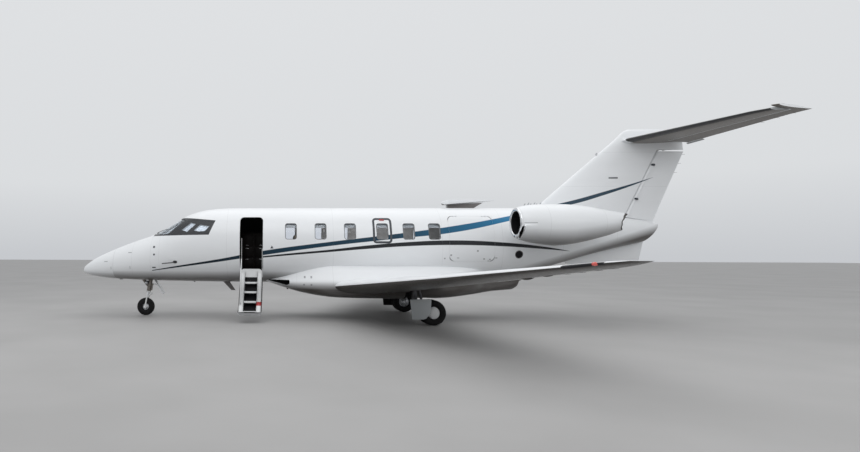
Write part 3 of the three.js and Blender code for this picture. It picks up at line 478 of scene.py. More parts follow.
def lathe(profile, sides=64, axis="x", number=0, closed=False):
    """A profile of (along, radius) turned about an axis through the origin."""
    def spot(along, radius, turn):
        c, s = radius * math.cos(turn), radius * math.sin(turn)
        return {"x": (along, c, s), "y": (c, along, s), "z": (c, s, along)}[axis]
    rings = [[spot(a, r, 2 * math.pi * j / sides) for j in range(sides)] for a, r in profile]
    return loft(rings, number, closed)


def tube(path, radius, sides=12):
    """A round bar along points; radius is one size or one for each point."""
    points = [Vector(p) for p in path]
    sizes = radius if hasattr(radius, "__len__") else [radius] * len(points)
    side = (points[1] - points[0]).normalized().orthogonal().normalized()
    loops = []
    for i, p in enumerate(points):
        after, before = points[min(i + 1, len(points) - 1)], points[max(i - 1, 0)]
        ahead = (after - before).normalized()
        side = (side - ahead * side.dot(ahead)).normalized()
        up = ahead.cross(side)
        turn = [2 * math.pi * j / sides for j in range(sides)]
        loops.append([tuple(p + (side * math.cos(a) + up * math.sin(a)) * sizes[i]) for a in turn])
    return loft(loops)


def rounded_bar(start, end, radius, sides=16, rim=0.25):
    """A round bar whose ends are chamfered."""
    a, b = Vector(start), Vector(end)
    ahead = (b - a).normalized()
    cut = min(radius * rim, (b - a).length * 0.2)
    small = radius - cut
    return tube([a, a + ahead * cut, b - ahead * cut, b], [small, radius, radius, small], sides)


def bars(*rows):
    """Round bars from rows of start, end, radius, sides and rim."""
    return gathered(*(rounded_bar(*row) for row in rows))


def smooth_path(corners, steps=8):
    """A rounded path through corner points."""
    ends = [corners[0], *corners, corners[-1]]
    made = []
    for i in range(1, len(ends) - 2):
        p0, p1, p2, p3 = (Vector(p) for p in ends[i - 1:i + 3])
        for k in range(steps):
            t = k / steps
            made.append(0.5 * ((2 * p1) + (p2 - p0) * t + (2 * p0 - 5 * p1 + 4 * p2 - p3) * t * t
                               + (3 * p1 - p0 - 3 * p2 + p3) * t ** 3))
    return [*made, Vector(corners[-1])]


def mesh_of(shape, name="draft"):
    mesh = bpy.data.meshes.new(name)
    mesh.from_pydata(shape.points, [], shape.faces)
    mesh.polygons.foreach_set("material_index", shape.numbers)
    return mesh


def shape_of(mesh):
    """The shape of a mesh, which is then removed."""
    made = Shape([v.co[:] for v in mesh.vertices], [p.vertices for p in mesh.polygons])
    made.numbers = [p.material_index for p in mesh.polygons]
    bpy.data.meshes.remove(mesh)
    return made


def bevelled(shape, width, segments=2):
    mesh = mesh_of(shape)
    bm = bmesh.new()
    bm.from_mesh(mesh)
    bmesh.ops.remove_doubles(bm, verts=bm.verts, dist=1e-6)
    bmesh.ops.recalc_face_normals(bm, faces=bm.faces)
    edges = [e for e in bm.edges if len(e.link_faces) == 2 and e.calc_face_angle(0) > math.radians(BEVEL_FROM)]
    bmesh.ops.bevel(bm, geom=edges, offset=width, segments=segments, profile=0.5, affect="EDGES", clamp_overlap=True)
    bm.to_mesh(mesh)
    bm.free()
    return shape_of(mesh)


def block(x, y, z, bevel=0.004, segments=2):
    """A box between pairs of limits with rounded edges."""
    corners = [(a, b, c) for a in sorted(x) for b in sorted(y) for c in sorted(z)]
    faces = [(0, 1, 3, 2), (4, 6, 7, 5), (0, 4, 5, 1), (2, 3, 7, 6), (0, 2, 6, 4), (1, 5, 7, 3)]
    shape = Shape(corners, faces)
    return bevelled(shape, bevel, segments) if bevel else shape


def blocks(*rows):
    """Boxes from rows of the limits of x, y and z and the bevel."""
    return gathered(*(block(*row) for row in rows))


def prism(outline, plane, low, high, bevel=0.0, number=0, segments=2):
    """An outline of (x, z), (y, z) or (x, y) points made thick along the third axis."""
    place = {"xz": lambda u, v, w: (u, w, v), "yz": lambda u, v, w: (w, u, v), "xy": lambda u, v, w: (u, v, w)}[plane]
    shape = loft([[place(u, v, w) for u, v in outline] for w in (low, high)], number)
    return bevelled(shape, bevel, segments) if bevel else shape


def plate(outline, low, high, bevel=0.0, number=0, segments=2):
    """An outline of (station, z) points made thick along Y."""
    return prism([(at(s), z) for s, z in outline], "xz", low, high, bevel, number, segments)


def rounded(u0, u1, v0, v1, radius, steps=8):
    """A rectangle's outline with round corners."""
    u0, u1, v0, v1 = u0 + radius, u1 - radius, v0 + radius, v1 - radius
    turns = [[(quarter + i / steps) * math.pi / 2 for i in range(steps + 1)] for quarter in range(4)]
    return [(u + radius * math.cos(a), v + radius * math.sin(a))
            for (u, v), arc in zip([(u1, v1), (u0, v1), (u0, v0), (u1, v0)], turns) for a in arc]


def circle(x, z, wide, tall, sides):
    turns = [i / sides * 2 * math.pi for i in range(sides)]
    return [(x + wide * math.cos(a), z + tall * math.sin(a)) for a in turns]


def smooth_faces(mesh, sharp=32):
    bm = bmesh.new()
    bm.from_mesh(mesh)
    bmesh.ops.remove_doubles(bm, verts=bm.verts, dist=1e-6)
    bmesh.ops.dissolve_degenerate(bm, edges=bm.edges, dist=1e-6)
    bmesh.ops.recalc_face_normals(bm, faces=bm.faces)
    for face in bm.faces:
        face.smooth = True
    for edge in bm.edges:
        edge.smooth = len(edge.link_faces) != 2 or edge.calc_face_angle(0) < math.radians(sharp)
    bm.to_mesh(mesh)
    bm.free()


def bare_object(shape, name="cutter"):
    mesh = mesh_of(shape, name)
    smooth_faces(mesh)
    return linked(name, mesh)


def combined(operation, shape, *tools):
    """The shape after a boolean with each tool in turn."""
    body = bare_object(shape, "body")
    cutters = [bare_object(tool) for tool in tools]
    for cutter in cutters:
        modifier = body.modifiers.new("cut", "BOOLEAN")
        modifier.solver = "EXACT"
        modifier.operation = operation
        modifier.object = cutter
    bpy.context.view_layer.update()
    mesh = bpy.data.meshes.new_from_object(body.evaluated_get(bpy.context.evaluated_depsgraph_get()))
    for obj in (body, *cutters):
        old = obj.data
        bpy.data.objects.remove(obj)
        bpy.data.meshes.remove(old)
    return shape_of(mesh)


def cut(shape, *tools): return combined("DIFFERENCE", shape, *tools)
def kept(shape, tool): return combined("INTERSECT", shape, tool)
def united(shape, *tools): return combined("UNION", shape, *tools)


MATERIALS = {}  # by name, filled by make_materials
SLOTS = {  # slots by a piece's first material, white_paint where it isn't here; piece() looks one up but gives it to nothing
    "grey_paint": "grey shade blind stairs",
    "trim_dark": "dark outline mask red frame lining carpet wood grip",
    "steel": "gear steel nozzle nose_leg",
    "window_glass": "pane glass lens red_lamp green_lamp screen",
    "polished_metal": "lip alloy chrome",
    "seat_leather": "leather crew_leather",
    "fan_metal": "fan",
    "tyre": "rubber",
}
SLOT_OF = {material: slot for slot, materials in SLOTS.items() for material in materials.split()}


def piece(name, shape, coats, body="airframe", slot="", replaces="", sharp=32, skin=False):
    """A named piece; coats are its materials' names, in the order of its faces' numbers."""
    mesh = mesh_of(shape, name)
    for coat in coats.split():
        mesh.materials.append(MATERIALS[coat])
    smooth_faces(mesh, sharp)
    if skin:
        skin_normals(mesh)
    obj = linked(name, mesh)
    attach(obj, body)
    slot or SLOT_OF.get(coats.split()[0], "white_paint")
    if replaces:
        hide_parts(replaces)
    return obj


def pair(name, shape, coats, body="airframe", replaces="", **more):
    """The port piece and its mirror image; a {} in a name stands for the side."""
    for side, made in (("left", shape), ("right", shape.mirrored())):
        piece(name.format(side), made, coats, body.format(side), replaces=replaces.format(side), **more)


def both(name, shape, coats, **more):
    """One piece of a shape and its mirror image."""
    piece(name, both_sides(shape), coats, **more)


# ---- Fuselage skin

SKIN = [
    # station, half width, lowest z, widest z, highest z
    (0, 0.030, 1.240, 1.270, 1.300), (0.05, 0.120, 1.188, 1.270, 1.375), (0.14, 0.200, 1.150, 1.278, 1.450),
    (0.35, 0.325, 1.102, 1.310, 1.595), (0.7, 0.460, 1.055, 1.360, 1.765), (1.1, 0.575, 1.022, 1.430, 1.935),
    (1.6, 0.690, 1.000, 1.530, 2.120), (2.05, 0.775, 0.990, 1.625, 2.275), (2.45, 0.840, 0.980, 1.730, 2.490),
    (2.85, 0.890, 0.974, 1.830, 2.735), (3.15, 0.920, 0.970, 1.890, 2.870), (3.5, 0.943, 0.965, 1.945, 2.965),
    (4.0, 0.960, 0.960, 1.985, 3.018), (4.6, 0.965, 0.960, 2.000, 3.030), (10.4, 0.965, 0.960, 2.000, 3.030),
    (11.0, 0.962, 0.985, 2.003, 3.030), (11.7, 0.945, 1.085, 2.025, 3.028), (12.4, 0.890, 1.265, 2.080, 3.015),
    (13.2, 0.775, 1.505, 2.165, 2.975), (14.0, 0.630, 1.745, 2.255, 2.895), (14.8, 0.470, 1.945, 2.330, 2.795),
    (15.4, 0.340, 2.085, 2.380, 2.705), (15.75, 0.240, 2.185, 2.415, 2.645), (15.9, 0.130, 2.290, 2.440, 2.590),
]
RADOME_END, NOSE_END, COCKPIT_END, CABIN_END, TAIL_TIP = 1.0, 2.1, 4.2, 11.4, 15.9
TAIL_END = ((15.409, 2.071), (15.846, 2.562))  # the slanted end of the tail cone: station, z
LOOP_STEPS = [(0.06, 0.012), (0.4, 0.035), (4.6, 0.08), (10.3, 0.3), (99, 0.1)]  # station, step up to it


def row_before(table, place):
    """The number of the row that a place follows."""
    i = 0
    while i < len(table) - 2 and table[i + 1][0] < place:
        i += 1
    return i


def between(table, place):
    """A table's row at any place between its rows, on a smooth cubic."""
    last = len(table) - 1
    i = row_before(table, place)

    def slope(k, column):
        a, b = table[max(k - 1, 0)], table[min(k + 1, last)]
        return (b[column] - a[column]) / (b[0] - a[0])
    low, high = table[i], table[i + 1]
    step = high[0] - low[0]
    t = min(max((place - low[0]) / step, 0), 1)
    row = [place]
    for column in range(1, len(low)):
        rise = high[column] - low[column]
        m0, m1 = slope(i, column) * step, slope(i + 1, column) * step
        row.append(low[column] + t * m0 + t * t * (3 * rise - 2 * m0 - m1) + t ** 3 * (m0 + m1 - 2 * rise))
    return row


def along(table, place):
    """A table's row at a place, in straight lines between its rows."""
    i = row_before(table, place)
    low, high = table[i], table[i + 1]
    t = (place - low[0]) / (high[0] - low[0])
    return [a + t * (b - a) for a, b in zip(low, high)]


def skin_loop(station, inset=0.0):
    _, width, low, middle, high = between(SKIN, station)
    loop = []
    for i in range(AROUND):
        turn = (i + 0.5) * 2 * math.pi / AROUND
        c, s = math.cos(turn), math.sin(turn)
        reach = high - middle - inset if s > 0 else middle - low - inset
        bent = [math.copysign(abs(v) ** (2 / SKIN_POWER), v) for v in (c, s)]
        loop.append((at(station), (width - inset) * bent[0], middle + reach * bent[1]))
    return loop


def skin_side(station, z, inset=0.0):
    """Half the width of the skin at a station and height."""
    _, width, low, middle, high = between(SKIN, station)
    reach = (high - middle if z > middle else middle - low) - inset
    share = min(abs(z - middle) / reach, 1)
    return (width - inset) * (1 - share ** SKIN_POWER) ** (1 / SKIN_POWER)


def stations(start, end):
    """Places for the skin's loops: close where it curves, wide where it is straight."""
    places = [start]
    while places[-1] < end - 1e-6:
        s = places[-1]
        step = next(step for limit, step in LOOP_STEPS if s < limit)
        places.append(end if s + step * 1.3 > end else s + step)
    return places


FINE = np.linspace(0, TAIL_TIP, 1600)
FINE_ROWS = np.array([between(SKIN, s) for s in FINE])


def skin_level(x, y, z):
    """Under 1 inside the skin, 1 on it, over 1 outside, for arrays of places."""
    width, low, middle, high = (np.interp(x + LENGTH / 2, FINE, FINE_ROWS[:, k]) for k in range(1, 5))
    reach = np.where(z > middle, high - middle, middle - low)
    return (np.abs(y) / width) ** SKIN_POWER + (np.abs(z - middle) / reach) ** SKIN_POWER


def read(items, name, width=1, kind=float):
    """An array of one value, or a row of width values, from each item of a mesh."""
    made = np.empty(len(items) * width, kind)
    items.foreach_get(name, made)
    return made.reshape(-1, width) if width > 1 else made


def skin_normals(mesh):
    """Gives the corners that lie on the skin the true normal of the skin."""
    spots = read(mesh.vertices, "co", 3)[read(mesh.loops, "vertex_index", kind=int)]
    normals = read(mesh.corner_normals, "vector", 3)
    facing = np.repeat(read(mesh.polygons, "normal", 3), read(mesh.polygons, "loop_total", kind=int), axis=0)
    step = 1e-4
    slope = np.stack([skin_level(*(spots + way).T) - skin_level(*(spots - way).T) for way in np.eye(3) * step], axis=1)
    slope /= np.maximum(np.linalg.norm(slope, axis=1, keepdims=True), 1e-9)
    on_skin = (np.abs(skin_level(*spots.T) - 1) < 0.03) & ((slope * facing).sum(axis=1) > 0.9)
    normals[on_skin] = slope[on_skin]
    mesh.normals_split_custom_set([tuple(n) for n in normals])


def hull(start, end, inset=0.0):
    return loft([skin_loop(s, inset) for s in stations(start, end)])


def shell(start, end, front=None, back=None):
    """A wall WALL thick from start to end, its inner faces numbered 1, with a bulkhead at station front
    or back where given."""
    inside = [skin_loop(s, WALL) for s in stations(front or start, back or end)]
    outside = [skin_loop(s) for s in stations(start, end)]
    if back:
        made = loft([*reversed(outside), *inside])
    else:
        made = loft([*outside, *reversed(inside)], closed=not front)
    deep = skin_level(*np.array(made.points).T) < 0.97
    made.numbers = [1 if all(deep[i] for i in face) else 0 for face in made.faces]
    return made


# ---- Openings: station from, to, lowest and highest z, corner radius

DOOR = (4.54, 5.16, 1.27, 2.73, 0.11)
CARGO = (10.04, 11.20, 1.56, 2.76, 0.12)
EXIT = (8.065, 8.555, 2.03, 2.70, 0.09)
WINDOW = (0.312, 0.436, 2.341, 0.065)  # width, height, z, corner
WINDOW_STATIONS = [5.905, 6.690, 7.465, 8.310, 9.000, 9.665]
EXIT_WINDOW = 3
PORT, STARBOARD = (-1.1, -0.1), (0.1, 1.1)  # y through one side of the cabin
OUTBOARD = (-1.1, -0.5)
FRONT_PANE = [(0.030, 2.300), (0.600, 2.262), (0.680, 2.300), (0.560, 2.650), (0.480, 2.690), (0.030, 2.715)]  # y, z
SIDE_PANE = [
    (2.660, 2.275), (3.610, 2.262), (3.690, 2.300), (3.800, 2.560), (3.740, 2.600), (3.220, 2.655), (3.080, 2.600),
]  # station, z
SIDE_LIGHTS = [  # the clear parts of a side pane
    [(2.950, 2.380), (3.105, 2.325), (3.335, 2.545), (3.200, 2.585)],
    [(3.290, 2.365), (3.440, 2.335), (3.600, 2.350), (3.715, 2.480), (3.450, 2.522)],
]
SIDE_PANE_Y = (-1.1, -0.2)
FRONT_PANE_REST = (2.05, 3.08)
STAIR_HINGE = (-0.738, 1.270)
STAIR_ANGLE = 138.5
CARGO_HINGE = (-0.700, 2.760)
SEAT_GAP = 0.0006  # between a pane and its frame


def door_prism(door, gap=0.0, corner=None):
    """The space of a door's opening in the port side."""
    start, end, low, high, radius = door
    outline = rounded(at(start) + gap, at(end) - gap, low + gap, high - gap, (corner or radius) - gap)
    return prism(outline, "xz", *PORT, number=2)


def window_outline(station, grow=0.0):
    width, height, z, corner = WINDOW
    x = at(station)
    half, tall = width / 2 + grow, height / 2 + grow
    return rounded(x - half, x + half, z - tall, z + tall, corner + grow)


def window_prism(station, side=PORT):
    return prism(window_outline(station), "xz", *side, number=3)


def shrunk(outline, by):
    """An outline moved towards its middle."""
    middle = [sum(p[k] for p in outline) / len(outline) for k in (0, 1)]
    made = []
    for p in outline:
        away = math.dist(p, middle)
        made.append(tuple(p[k] + (middle[k] - p[k]) * by / away for k in (0, 1)))
    return made


def shrink_even(outline, by):
    """An outline moved inwards by the same distance all round."""
    made = []
    for i, p in enumerate(outline):
        a, b = outline[i - 1], outline[(i + 1) % len(outline)]
        length = math.dist(a, b) or 1
        made.append((p[0] - (b[1] - a[1]) / length * by, p[1] + (b[0] - a[0]) / length * by))
    return made


def front_prism(by=0.0):
    return prism(shrunk(FRONT_PANE, by), "yz", at(FRONT_PANE_REST[0]), at(FRONT_PANE_REST[1]), number=2)


def side_prism(by=0.0):
    return plate(shrunk(SIDE_PANE, by), *SIDE_PANE_Y, number=2)


def layer(start, end, shallow, deep):
    """A thin layer of the skin between two depths."""
    places = stations(start, end)
    outer, inner = [skin_loop(s, shallow) for s in places], [skin_loop(s, deep) for s in reversed(places)]
    return loft([*outer, *inner], closed=True)


def dense(outline, step=0.03):
    made = []
    for a, b in zip(outline, [*outline[1:], outline[0]]):
        count = max(1, round(math.dist(a, b) / step))
        made += [tuple(a[k] + (b[k] - a[k]) * i / count for k in (0, 1)) for i in range(count)]
    return made


def on_skin(x, z, out=0.0):
    return (x, -(skin_side(x + LENGTH / 2, z) + out), z)


def skin_rings(rings, closed=False):
    """A thin form on the port skin from outlines of (x, z), each with its rise over the skin."""
    return loft([[on_skin(x, z, rise) for x, z in outline] for outline, rise in rings], closed=closed)


def skin_band(outer, inner, out=0.003, depth=0.004):
    """A raised band on the port skin between two outlines of (x, z) with the same number of points."""
    return skin_rings([(outer, -depth), (outer, out * 0.6), (shrunk(outer, out), out), (shrunk(inner, -out), out),
                       (inner, out * 0.6), (inner, -depth)], True)


def skin_patch(outline, out=0.003, depth=0.004):
    """A thin raised patch on the port skin inside an outline of (x, z)."""
    return skin_rings([(outline, -depth), (outline, out * 0.6), (shrunk(outline, min(out, 0.004)), out)])


def skin_label(station, z, half, tall, corner, out):
    """A raised oblong patch about a station and a height."""
    return skin_patch(rounded(at(station) - half, at(station) + half, z - tall, z + tall, corner), out)


# ---- Materials of the airframe

BODY_STRIPES = [(BLUE_STRIPE, BLUE), (CHARCOAL_STRIPE, CHARCOAL)]
# Where the painted shade and soil under the body begins and where it is full.
BELLY = (1.05, 1.28, 0.97)
BODY_PORTS = [  # station, z, half width, half height
    (9.92, 1.634, 0.018, 0.018), (10.08, 1.720, 0.022, 0.022), (10.26, 1.649, 0.030, 0.010),
    (10.76, 1.833, 0.022, 0.022), (10.93, 1.625, 0.022, 0.018), (11.08, 1.613, 0.022, 0.018),
    (11.24, 1.652, 0.030, 0.012), (11.04, 1.573, 0.014, 0.014),
]
FAIRING_PORTS = [
    (6.27, 1.128, 0.022, 0.030), (6.44, 1.129, 0.022, 0.030), (6.25, 0.93, 0.022, 0.022), (6.44, 0.93, 0.022, 0.022),
]
BODY = dict(stripes=BODY_STRIPES, belly=BELLY)
PAINTS = {  # what each paint has beyond plain white
    # A belly entry darkens the paint towards the bottom: painted shade, with a little soil.
    "radome": dict(joints=[0.996], belly=(1.05, 1.22, 0.8)),
    "nose": dict(BODY, joints=[1.006, 1.56, 2.095]),
    "cabin": dict(BODY, joints=[7.02, 9.86], marks=BODY_PORTS),
    "tail": dict(BODY, joints=[11.41, 13.02, 14.55], belly=(*BELLY, 11.41, 0.30)),
    "fin": dict(stripes=[(FIN_STRIPE, BLUE)], levels=[4.56, 3.62]),
    "white": {},
    # The undersides of the wing, its hinge fairings and the tailplane are darkened: painted shade.
    "wing_under": dict(base=(0.050, 0.044, 0.039)),
    "tail_under": dict(base=(0.17, 0.155, 0.14)),
    # The fairing's painted shade climbs aft, under the wing's shadow.
    "fairing": dict(joints=[6.06, 7.0, 10.9], belly=(0.80, 1.02, 1.0, 8.5, 0.15), marks=FAIRING_PORTS),
    "nacelle": dict(joints=[11.42, 12.02, 13.38], belly=(2.02, 2.36, 0.8, 12.6, 0.16),
                    marks=[(11.58, 2.497, 0.14, 0.007)]),
    "stairs": dict(base=(0.72, 0.73, 0.73)),
    "door_skin": dict(stripes=BODY_STRIPES, turn=((0, *STAIR_HINGE), math.radians(-STAIR_ANGLE))),
    "grey": dict(base=(0.42, 0.44, 0.45)),
    "shade": dict(base=(0.16, 0.15, 0.145)),
}
MATTERS = {  # the other materials: what makes each, its colour, and the rest in that function's order
    "lining": (plastic, (0.55, 0.56, 0.58), 0.6),
    "jamb": (plastic, (0.62, 0.63, 0.64), 0.5),
    "dark": (plastic, (0.012, 0.012, 0.013), 0.55, 220, 0.15, 0.12),
    "frame": (plastic, (0.20, 0.21, 0.22), 0.4),
    "mask": (plastic, MASK, 0.5),
    "outline": (plastic, (0.050, 0.056, 0.066), 0.5),
    "boot": (plastic, (0.030, 0.030, 0.032), 0.42),
    "grip": (plastic, (0.035, 0.035, 0.037), 0.85, 500, 0.7),
    # Near black as painted shade inside the doorway.
    "wood": (plastic, (0.010, 0.007, 0.006), 0.4, 220, 0.15, 0.12),
    "red": (plastic, (0.45, 0.03, 0.03), 0.4),
    "glass": (tinted_glass, (0.95, 0.97, 1.0), 1.0),
    "pane": (tinted_glass, (0.86, 0.90, 0.94), 1.0),
    "lens": (tinted_glass, (0.05, 0.05, 0.055), 0.3),
    # The blinds glow as if lit from behind: painted light.
    "blind": (lamp, (0.92, 0.96, 1.0), 0.22, (0.80, 0.83, 0.88)),
    "screen": (lamp, (0.05, 0.12, 0.25), 0.25, (0.01, 0.012, 0.015)),
    "red_lamp": (lamp, (0.6, 0.12, 0.10), 0.3, (0.5, 0.05, 0.04)),
    "green_lamp": (lamp, (0.05, 1.0, 0.2), 0.6, (0.02, 0.4, 0.1)),
    "steel": (metal, (0.46, 0.47, 0.49), 0.32),
    "chrome": (metal, (0.82, 0.83, 0.85), 0.08),
    "alloy": (metal, (0.62, 0.63, 0.65), 0.3, (1, 8, 1)),
    "lip": (metal, (0.78, 0.79, 0.81), 0.14, (1, 6, 6)),
    "nozzle": (metal, (0.16, 0.15, 0.145), 0.38, (1, 6, 6)),
    "fan": (metal, (0.20, 0.205, 0.22), 0.3, (4, 1, 1)),
    # Dark as painted shade, for the main legs under the fairing; the pitot probes share it.
    "gear": (metal, (0.10, 0.10, 0.105), 0.45),
    "nose_leg": (metal, (0.26, 0.235, 0.21), 0.45),
    "rubber": (rubber, (0.007, 0.007, 0.0075), (0.045, 0.04, 0.036)),
    "leather": (leather, (0.50, 0.42, 0.32)),
    "crew_leather": (leather, (0.10, 0.10, 0.105)),
    "carpet": (carpet, (0.10, 0.095, 0.09)),
}


def make_materials():
    MATERIALS["cockpit"] = cockpit_paint("cockpit", joints=[2.34, 4.19], **BODY)
    for name, more in PAINTS.items():
        MATERIALS[name] = paint(name, **more)
    for name, (kind, *rest) in MATTERS.items():
        MATERIALS[name] = kind(name, *rest)


# ---- Fuselage

def make_nose():
    piece("radome_skin", hull(0, RADOME_END - 0.001), "radome", replaces="radome", skin=True)
    pad = block((at(1.05), at(1.13)), (-0.04, 0.04), (1.003, 1.06), 0.003)
    bay = plate([(1.18, 0.5), (2.06, 0.5), (2.06, 1.33), (1.18, 1.33)], -BAY_HALF, BAY_HALF, number=1)
    nose = cut(hull(RADOME_END, NOSE_END - 0.0004), bay)
    piece("nose_skin", nose.add(pad), "nose grey", replaces="nose_section", skin=True)
    latches = [(0.783, 1.516, 0.055, 0.011, 0.0099, 0.004), (1.495, 1.767, 0.055, 0.011, 0.0099, 0.004),
               (0.946, 1.338, 0.009, 0.04, 0.008, 0.003), (1.511, 1.357, 0.009, 0.04, 0.008, 0.003)]
    both("nose_latches", gathered(*(skin_label(*row) for row in latches)), "grey")
    ports = gathered(*(skin_patch(circle(at(s), z, r, r, 16), 0.005) for s, z, r in (
        (2.194, 1.918, 0.030), (2.206, 1.714, 0.026))))
    ports.add(skin_label(2.195, 1.363, 0.05, 0.015, 0.01, 0.006))
    ports.add(skin_patch(dense([(at(5.36), 1.885), (at(5.44), 1.885), (at(5.40), 1.96)]), 0.004))
    both("air_data_ports", ports, "outline")
    foot, elbow = Vector(on_skin(at(2.79), 1.514, -0.01)), Vector(on_skin(at(2.74), 1.500, 0.085))
    tip = elbow + Vector((-0.29, 0, -0.03))
    probe = tube(smooth_path([foot, foot.lerp(elbow, 0.55), elbow, elbow.lerp(tip, 0.4), tip], 5), 0.013)
    both("pitot_probes", probe.add(skin_patch(circle(at(2.79), 1.514, 0.060, 0.04, 16), 0.006)), "gear")
    blade = plate([(3.98, 0.99), (4.17, 0.99), (4.36, 0.72), (4.24, 0.72)], -0.009, 0.009, 0.004)
    drain = plate([(3.14, 0.99), (3.20, 0.99), (3.22, 0.945), (3.18, 0.945)], -0.006, 0.006, 0.002)
    mast = plate([(5.76, 0.93), (5.86, 0.93), (5.84, 0.77), (5.80, 0.77)], -0.25, -0.238, 0.004)
    piece("belly_antennas", gathered(blade, mast, drain), "shade")


def surface_x(y, z):
    """The x where the front of the skin has a place (y, z)."""
    low, high = at(1.5), at(3.3)
    for _ in range(40):
        middle = (low + high) / 2
        if skin_level(np.array([middle]), np.array([y]), np.array([z]))[0] > 1:
            low = middle
        else:
            high = middle
    return high


def make_cockpit():
    walls = shell(NOSE_END, COCKPIT_END - 0.0004, front=NOSE_END + 0.04)
    walls = cut(walls, both_sides(front_prism()), both_sides(side_prism()))
    piece("cockpit_skin", walls, "cockpit lining jamb", replaces="cockpit_shell", skin=True)
    sheet = layer(NOSE_END + 0.05, COCKPIT_END - 0.05, 0.010, 0.030)
    side = kept(sheet, side_prism(SEAT_GAP))
    pair("side_pane_{}", side.numbered(0), "pane", replaces="side_window_{}", skin=True)
    band = kept(layer(2.5, 4.0, 0.0015, 0.0085), side_prism(0.0004))
    lights = [plate(light, *SIDE_PANE_Y) for light in SIDE_LIGHTS]
    pair("side_pane_frame_{}", cut(band, *lights).numbered(0), "mask", skin=True)
    # The blinds glow: painted light.
    blinds = kept(layer(2.5, 4.0, 0.036, 0.040), gathered(*lights))
    pair("side_blinds_{}", blinds.numbered(0), "blind", skin=True)
    front = kept(sheet, front_prism(SEAT_GAP).mirrored()).mirrored()
    pair("windshield_pane_{}", front.numbered(0), "pane", replaces="windshield_{}", skin=True)
    places = [(-0.10 - 0.38 * k / 8, 2.315 + 0.10 * k / 8) for k in range(9)]
    path = [(surface_x(y, z) - 0.012, y, z) for y, z in places]
    both("wipers", tube(path, [0.009] * 3 + [0.006] * 6, 8), "dark")


def make_cabin():
    doors = [door_prism(door) for door in (DOOR, CARGO, EXIT)]
    port = [window_prism(s) for i, s in enumerate(WINDOW_STATIONS) if i != EXIT_WINDOW]
    starboard = [window_prism(s, STARBOARD) for s in WINDOW_STATIONS]
    walls = shell(COCKPIT_END, CABIN_END - 0.0004, back=CABIN_END - 0.04)
    walls = cut(walls, gathered(*doors, *port, *starboard))
    # The inner wall about the entry, forward of station 5.35, takes the dark material: painted shade.
    walls.renumbered(4, lambda face, number: number == 1 and sum(p[0] for p in face) / len(face) < at(5.35))
    piece("cabin_skin", walls, "cabin lining jamb frame dark", replaces="cabin_shell", skin=True)
    hatch = kept(shell(7.9, 8.7), door_prism(EXIT, 0.0008))
    hatch = cut(hatch, window_prism(WINDOW_STATIONS[EXIT_WINDOW]))
    piece("exit_hatch_skin", hatch, "cabin lining jamb frame", replaces="exit_hatch", skin=True)
    cargo = kept(shell(9.9, 11.3), door_prism(CARGO, DOOR_GAP / 4, CARGO[4] + 0.04))
    piece("cargo_door_skin", cargo.add(hinge_barrels(CARGO, CARGO_HINGE, 0.200)), "cabin lining jamb", "cargo_door",
          replaces="cargo_door", skin=True)
    start, end, low, high, corner = EXIT
    outer = dense(rounded(at(start) - 0.006, at(end) + 0.006, low - 0.006, high + 0.006, corner + 0.006))
    piece("exit_outline", skin_band(outer, shrink_even(outer, 0.056), 0.002), "outline")
    piece("exit_handle", skin_patch(dense(rounded(at(8.245), at(8.375), 2.634, 2.668, 0.012)), 0.012), "red")
    panes()


def panes():
    """Window panes, each in a frame with a soft rim, on both sides."""
    sheet = layer(5.6, 9.9, 0.016, 0.026)
    lights = kept(sheet, gathered(*(prism(window_outline(s, -SEAT_GAP), "xz", *OUTBOARD) for s in WINDOW_STATIONS)))
    pair("cabin_panes_{}", lights.numbered(0), "glass", replaces="cabin_windows_{}", skin=True)
    frames, reveals, shades = Shape(), Shape(), Shape()
    low, high = WINDOW[2] + 0.095, WINDOW[2] + WINDOW[1] / 2 + 0.02
    for station in WINDOW_STATIONS:
        outer = dense(window_outline(station, -0.001))
        steps = [(0.0, -0.004), (0.004, 0.001), (0.012, -0.002), (0.015, -0.015), (0.0, -0.016)]
        frames.add(skin_rings([(shrink_even(outer, inward), rise) for inward, rise in steps], True))
        outer = dense(window_outline(station, 0.030))
        edge = dense(window_outline(station, -0.012))
        if len(outer) != len(edge):
            edge = shrink_even(outer, 0.042)
        reveals.add(skin_rings([(outer, -WALL), (outer, -WALL - 0.008), (shrink_even(outer, 0.012), -WALL - 0.012),
                                (edge, -WALL - 0.004), (edge, -WALL + 0.01)], True))
        x0, x1 = at(station) - 0.17, at(station) + 0.17
        shades.add(prism([(x0, low), (x1, low), (x1, high), (x0, high)], "xz", *OUTBOARD))
    pair("window_frames_{}", frames, "frame")
    piece("window_shades", kept(layer(5.6, 9.9, 0.045, 0.052), shades).numbered(0), "grey")
    pair("window_reveals_{}", reveals, "lining")


def hinge_barrels(door, hinge, inset):
    """The barrels of a door's two hinges, round a pin along X."""
    made = Shape()
    for x in (at(door[0]) + inset, at(door[1]) - inset):
        made.add(bars(*(((x + a, *hinge), (x + b, *hinge), r, sides) for a, b, r, sides in (
            (-0.058, 0.058, 0.010, 12), (-0.028, -0.058, 0.020, 16), (0.028, 0.058, 0.020, 16)))))
    return made


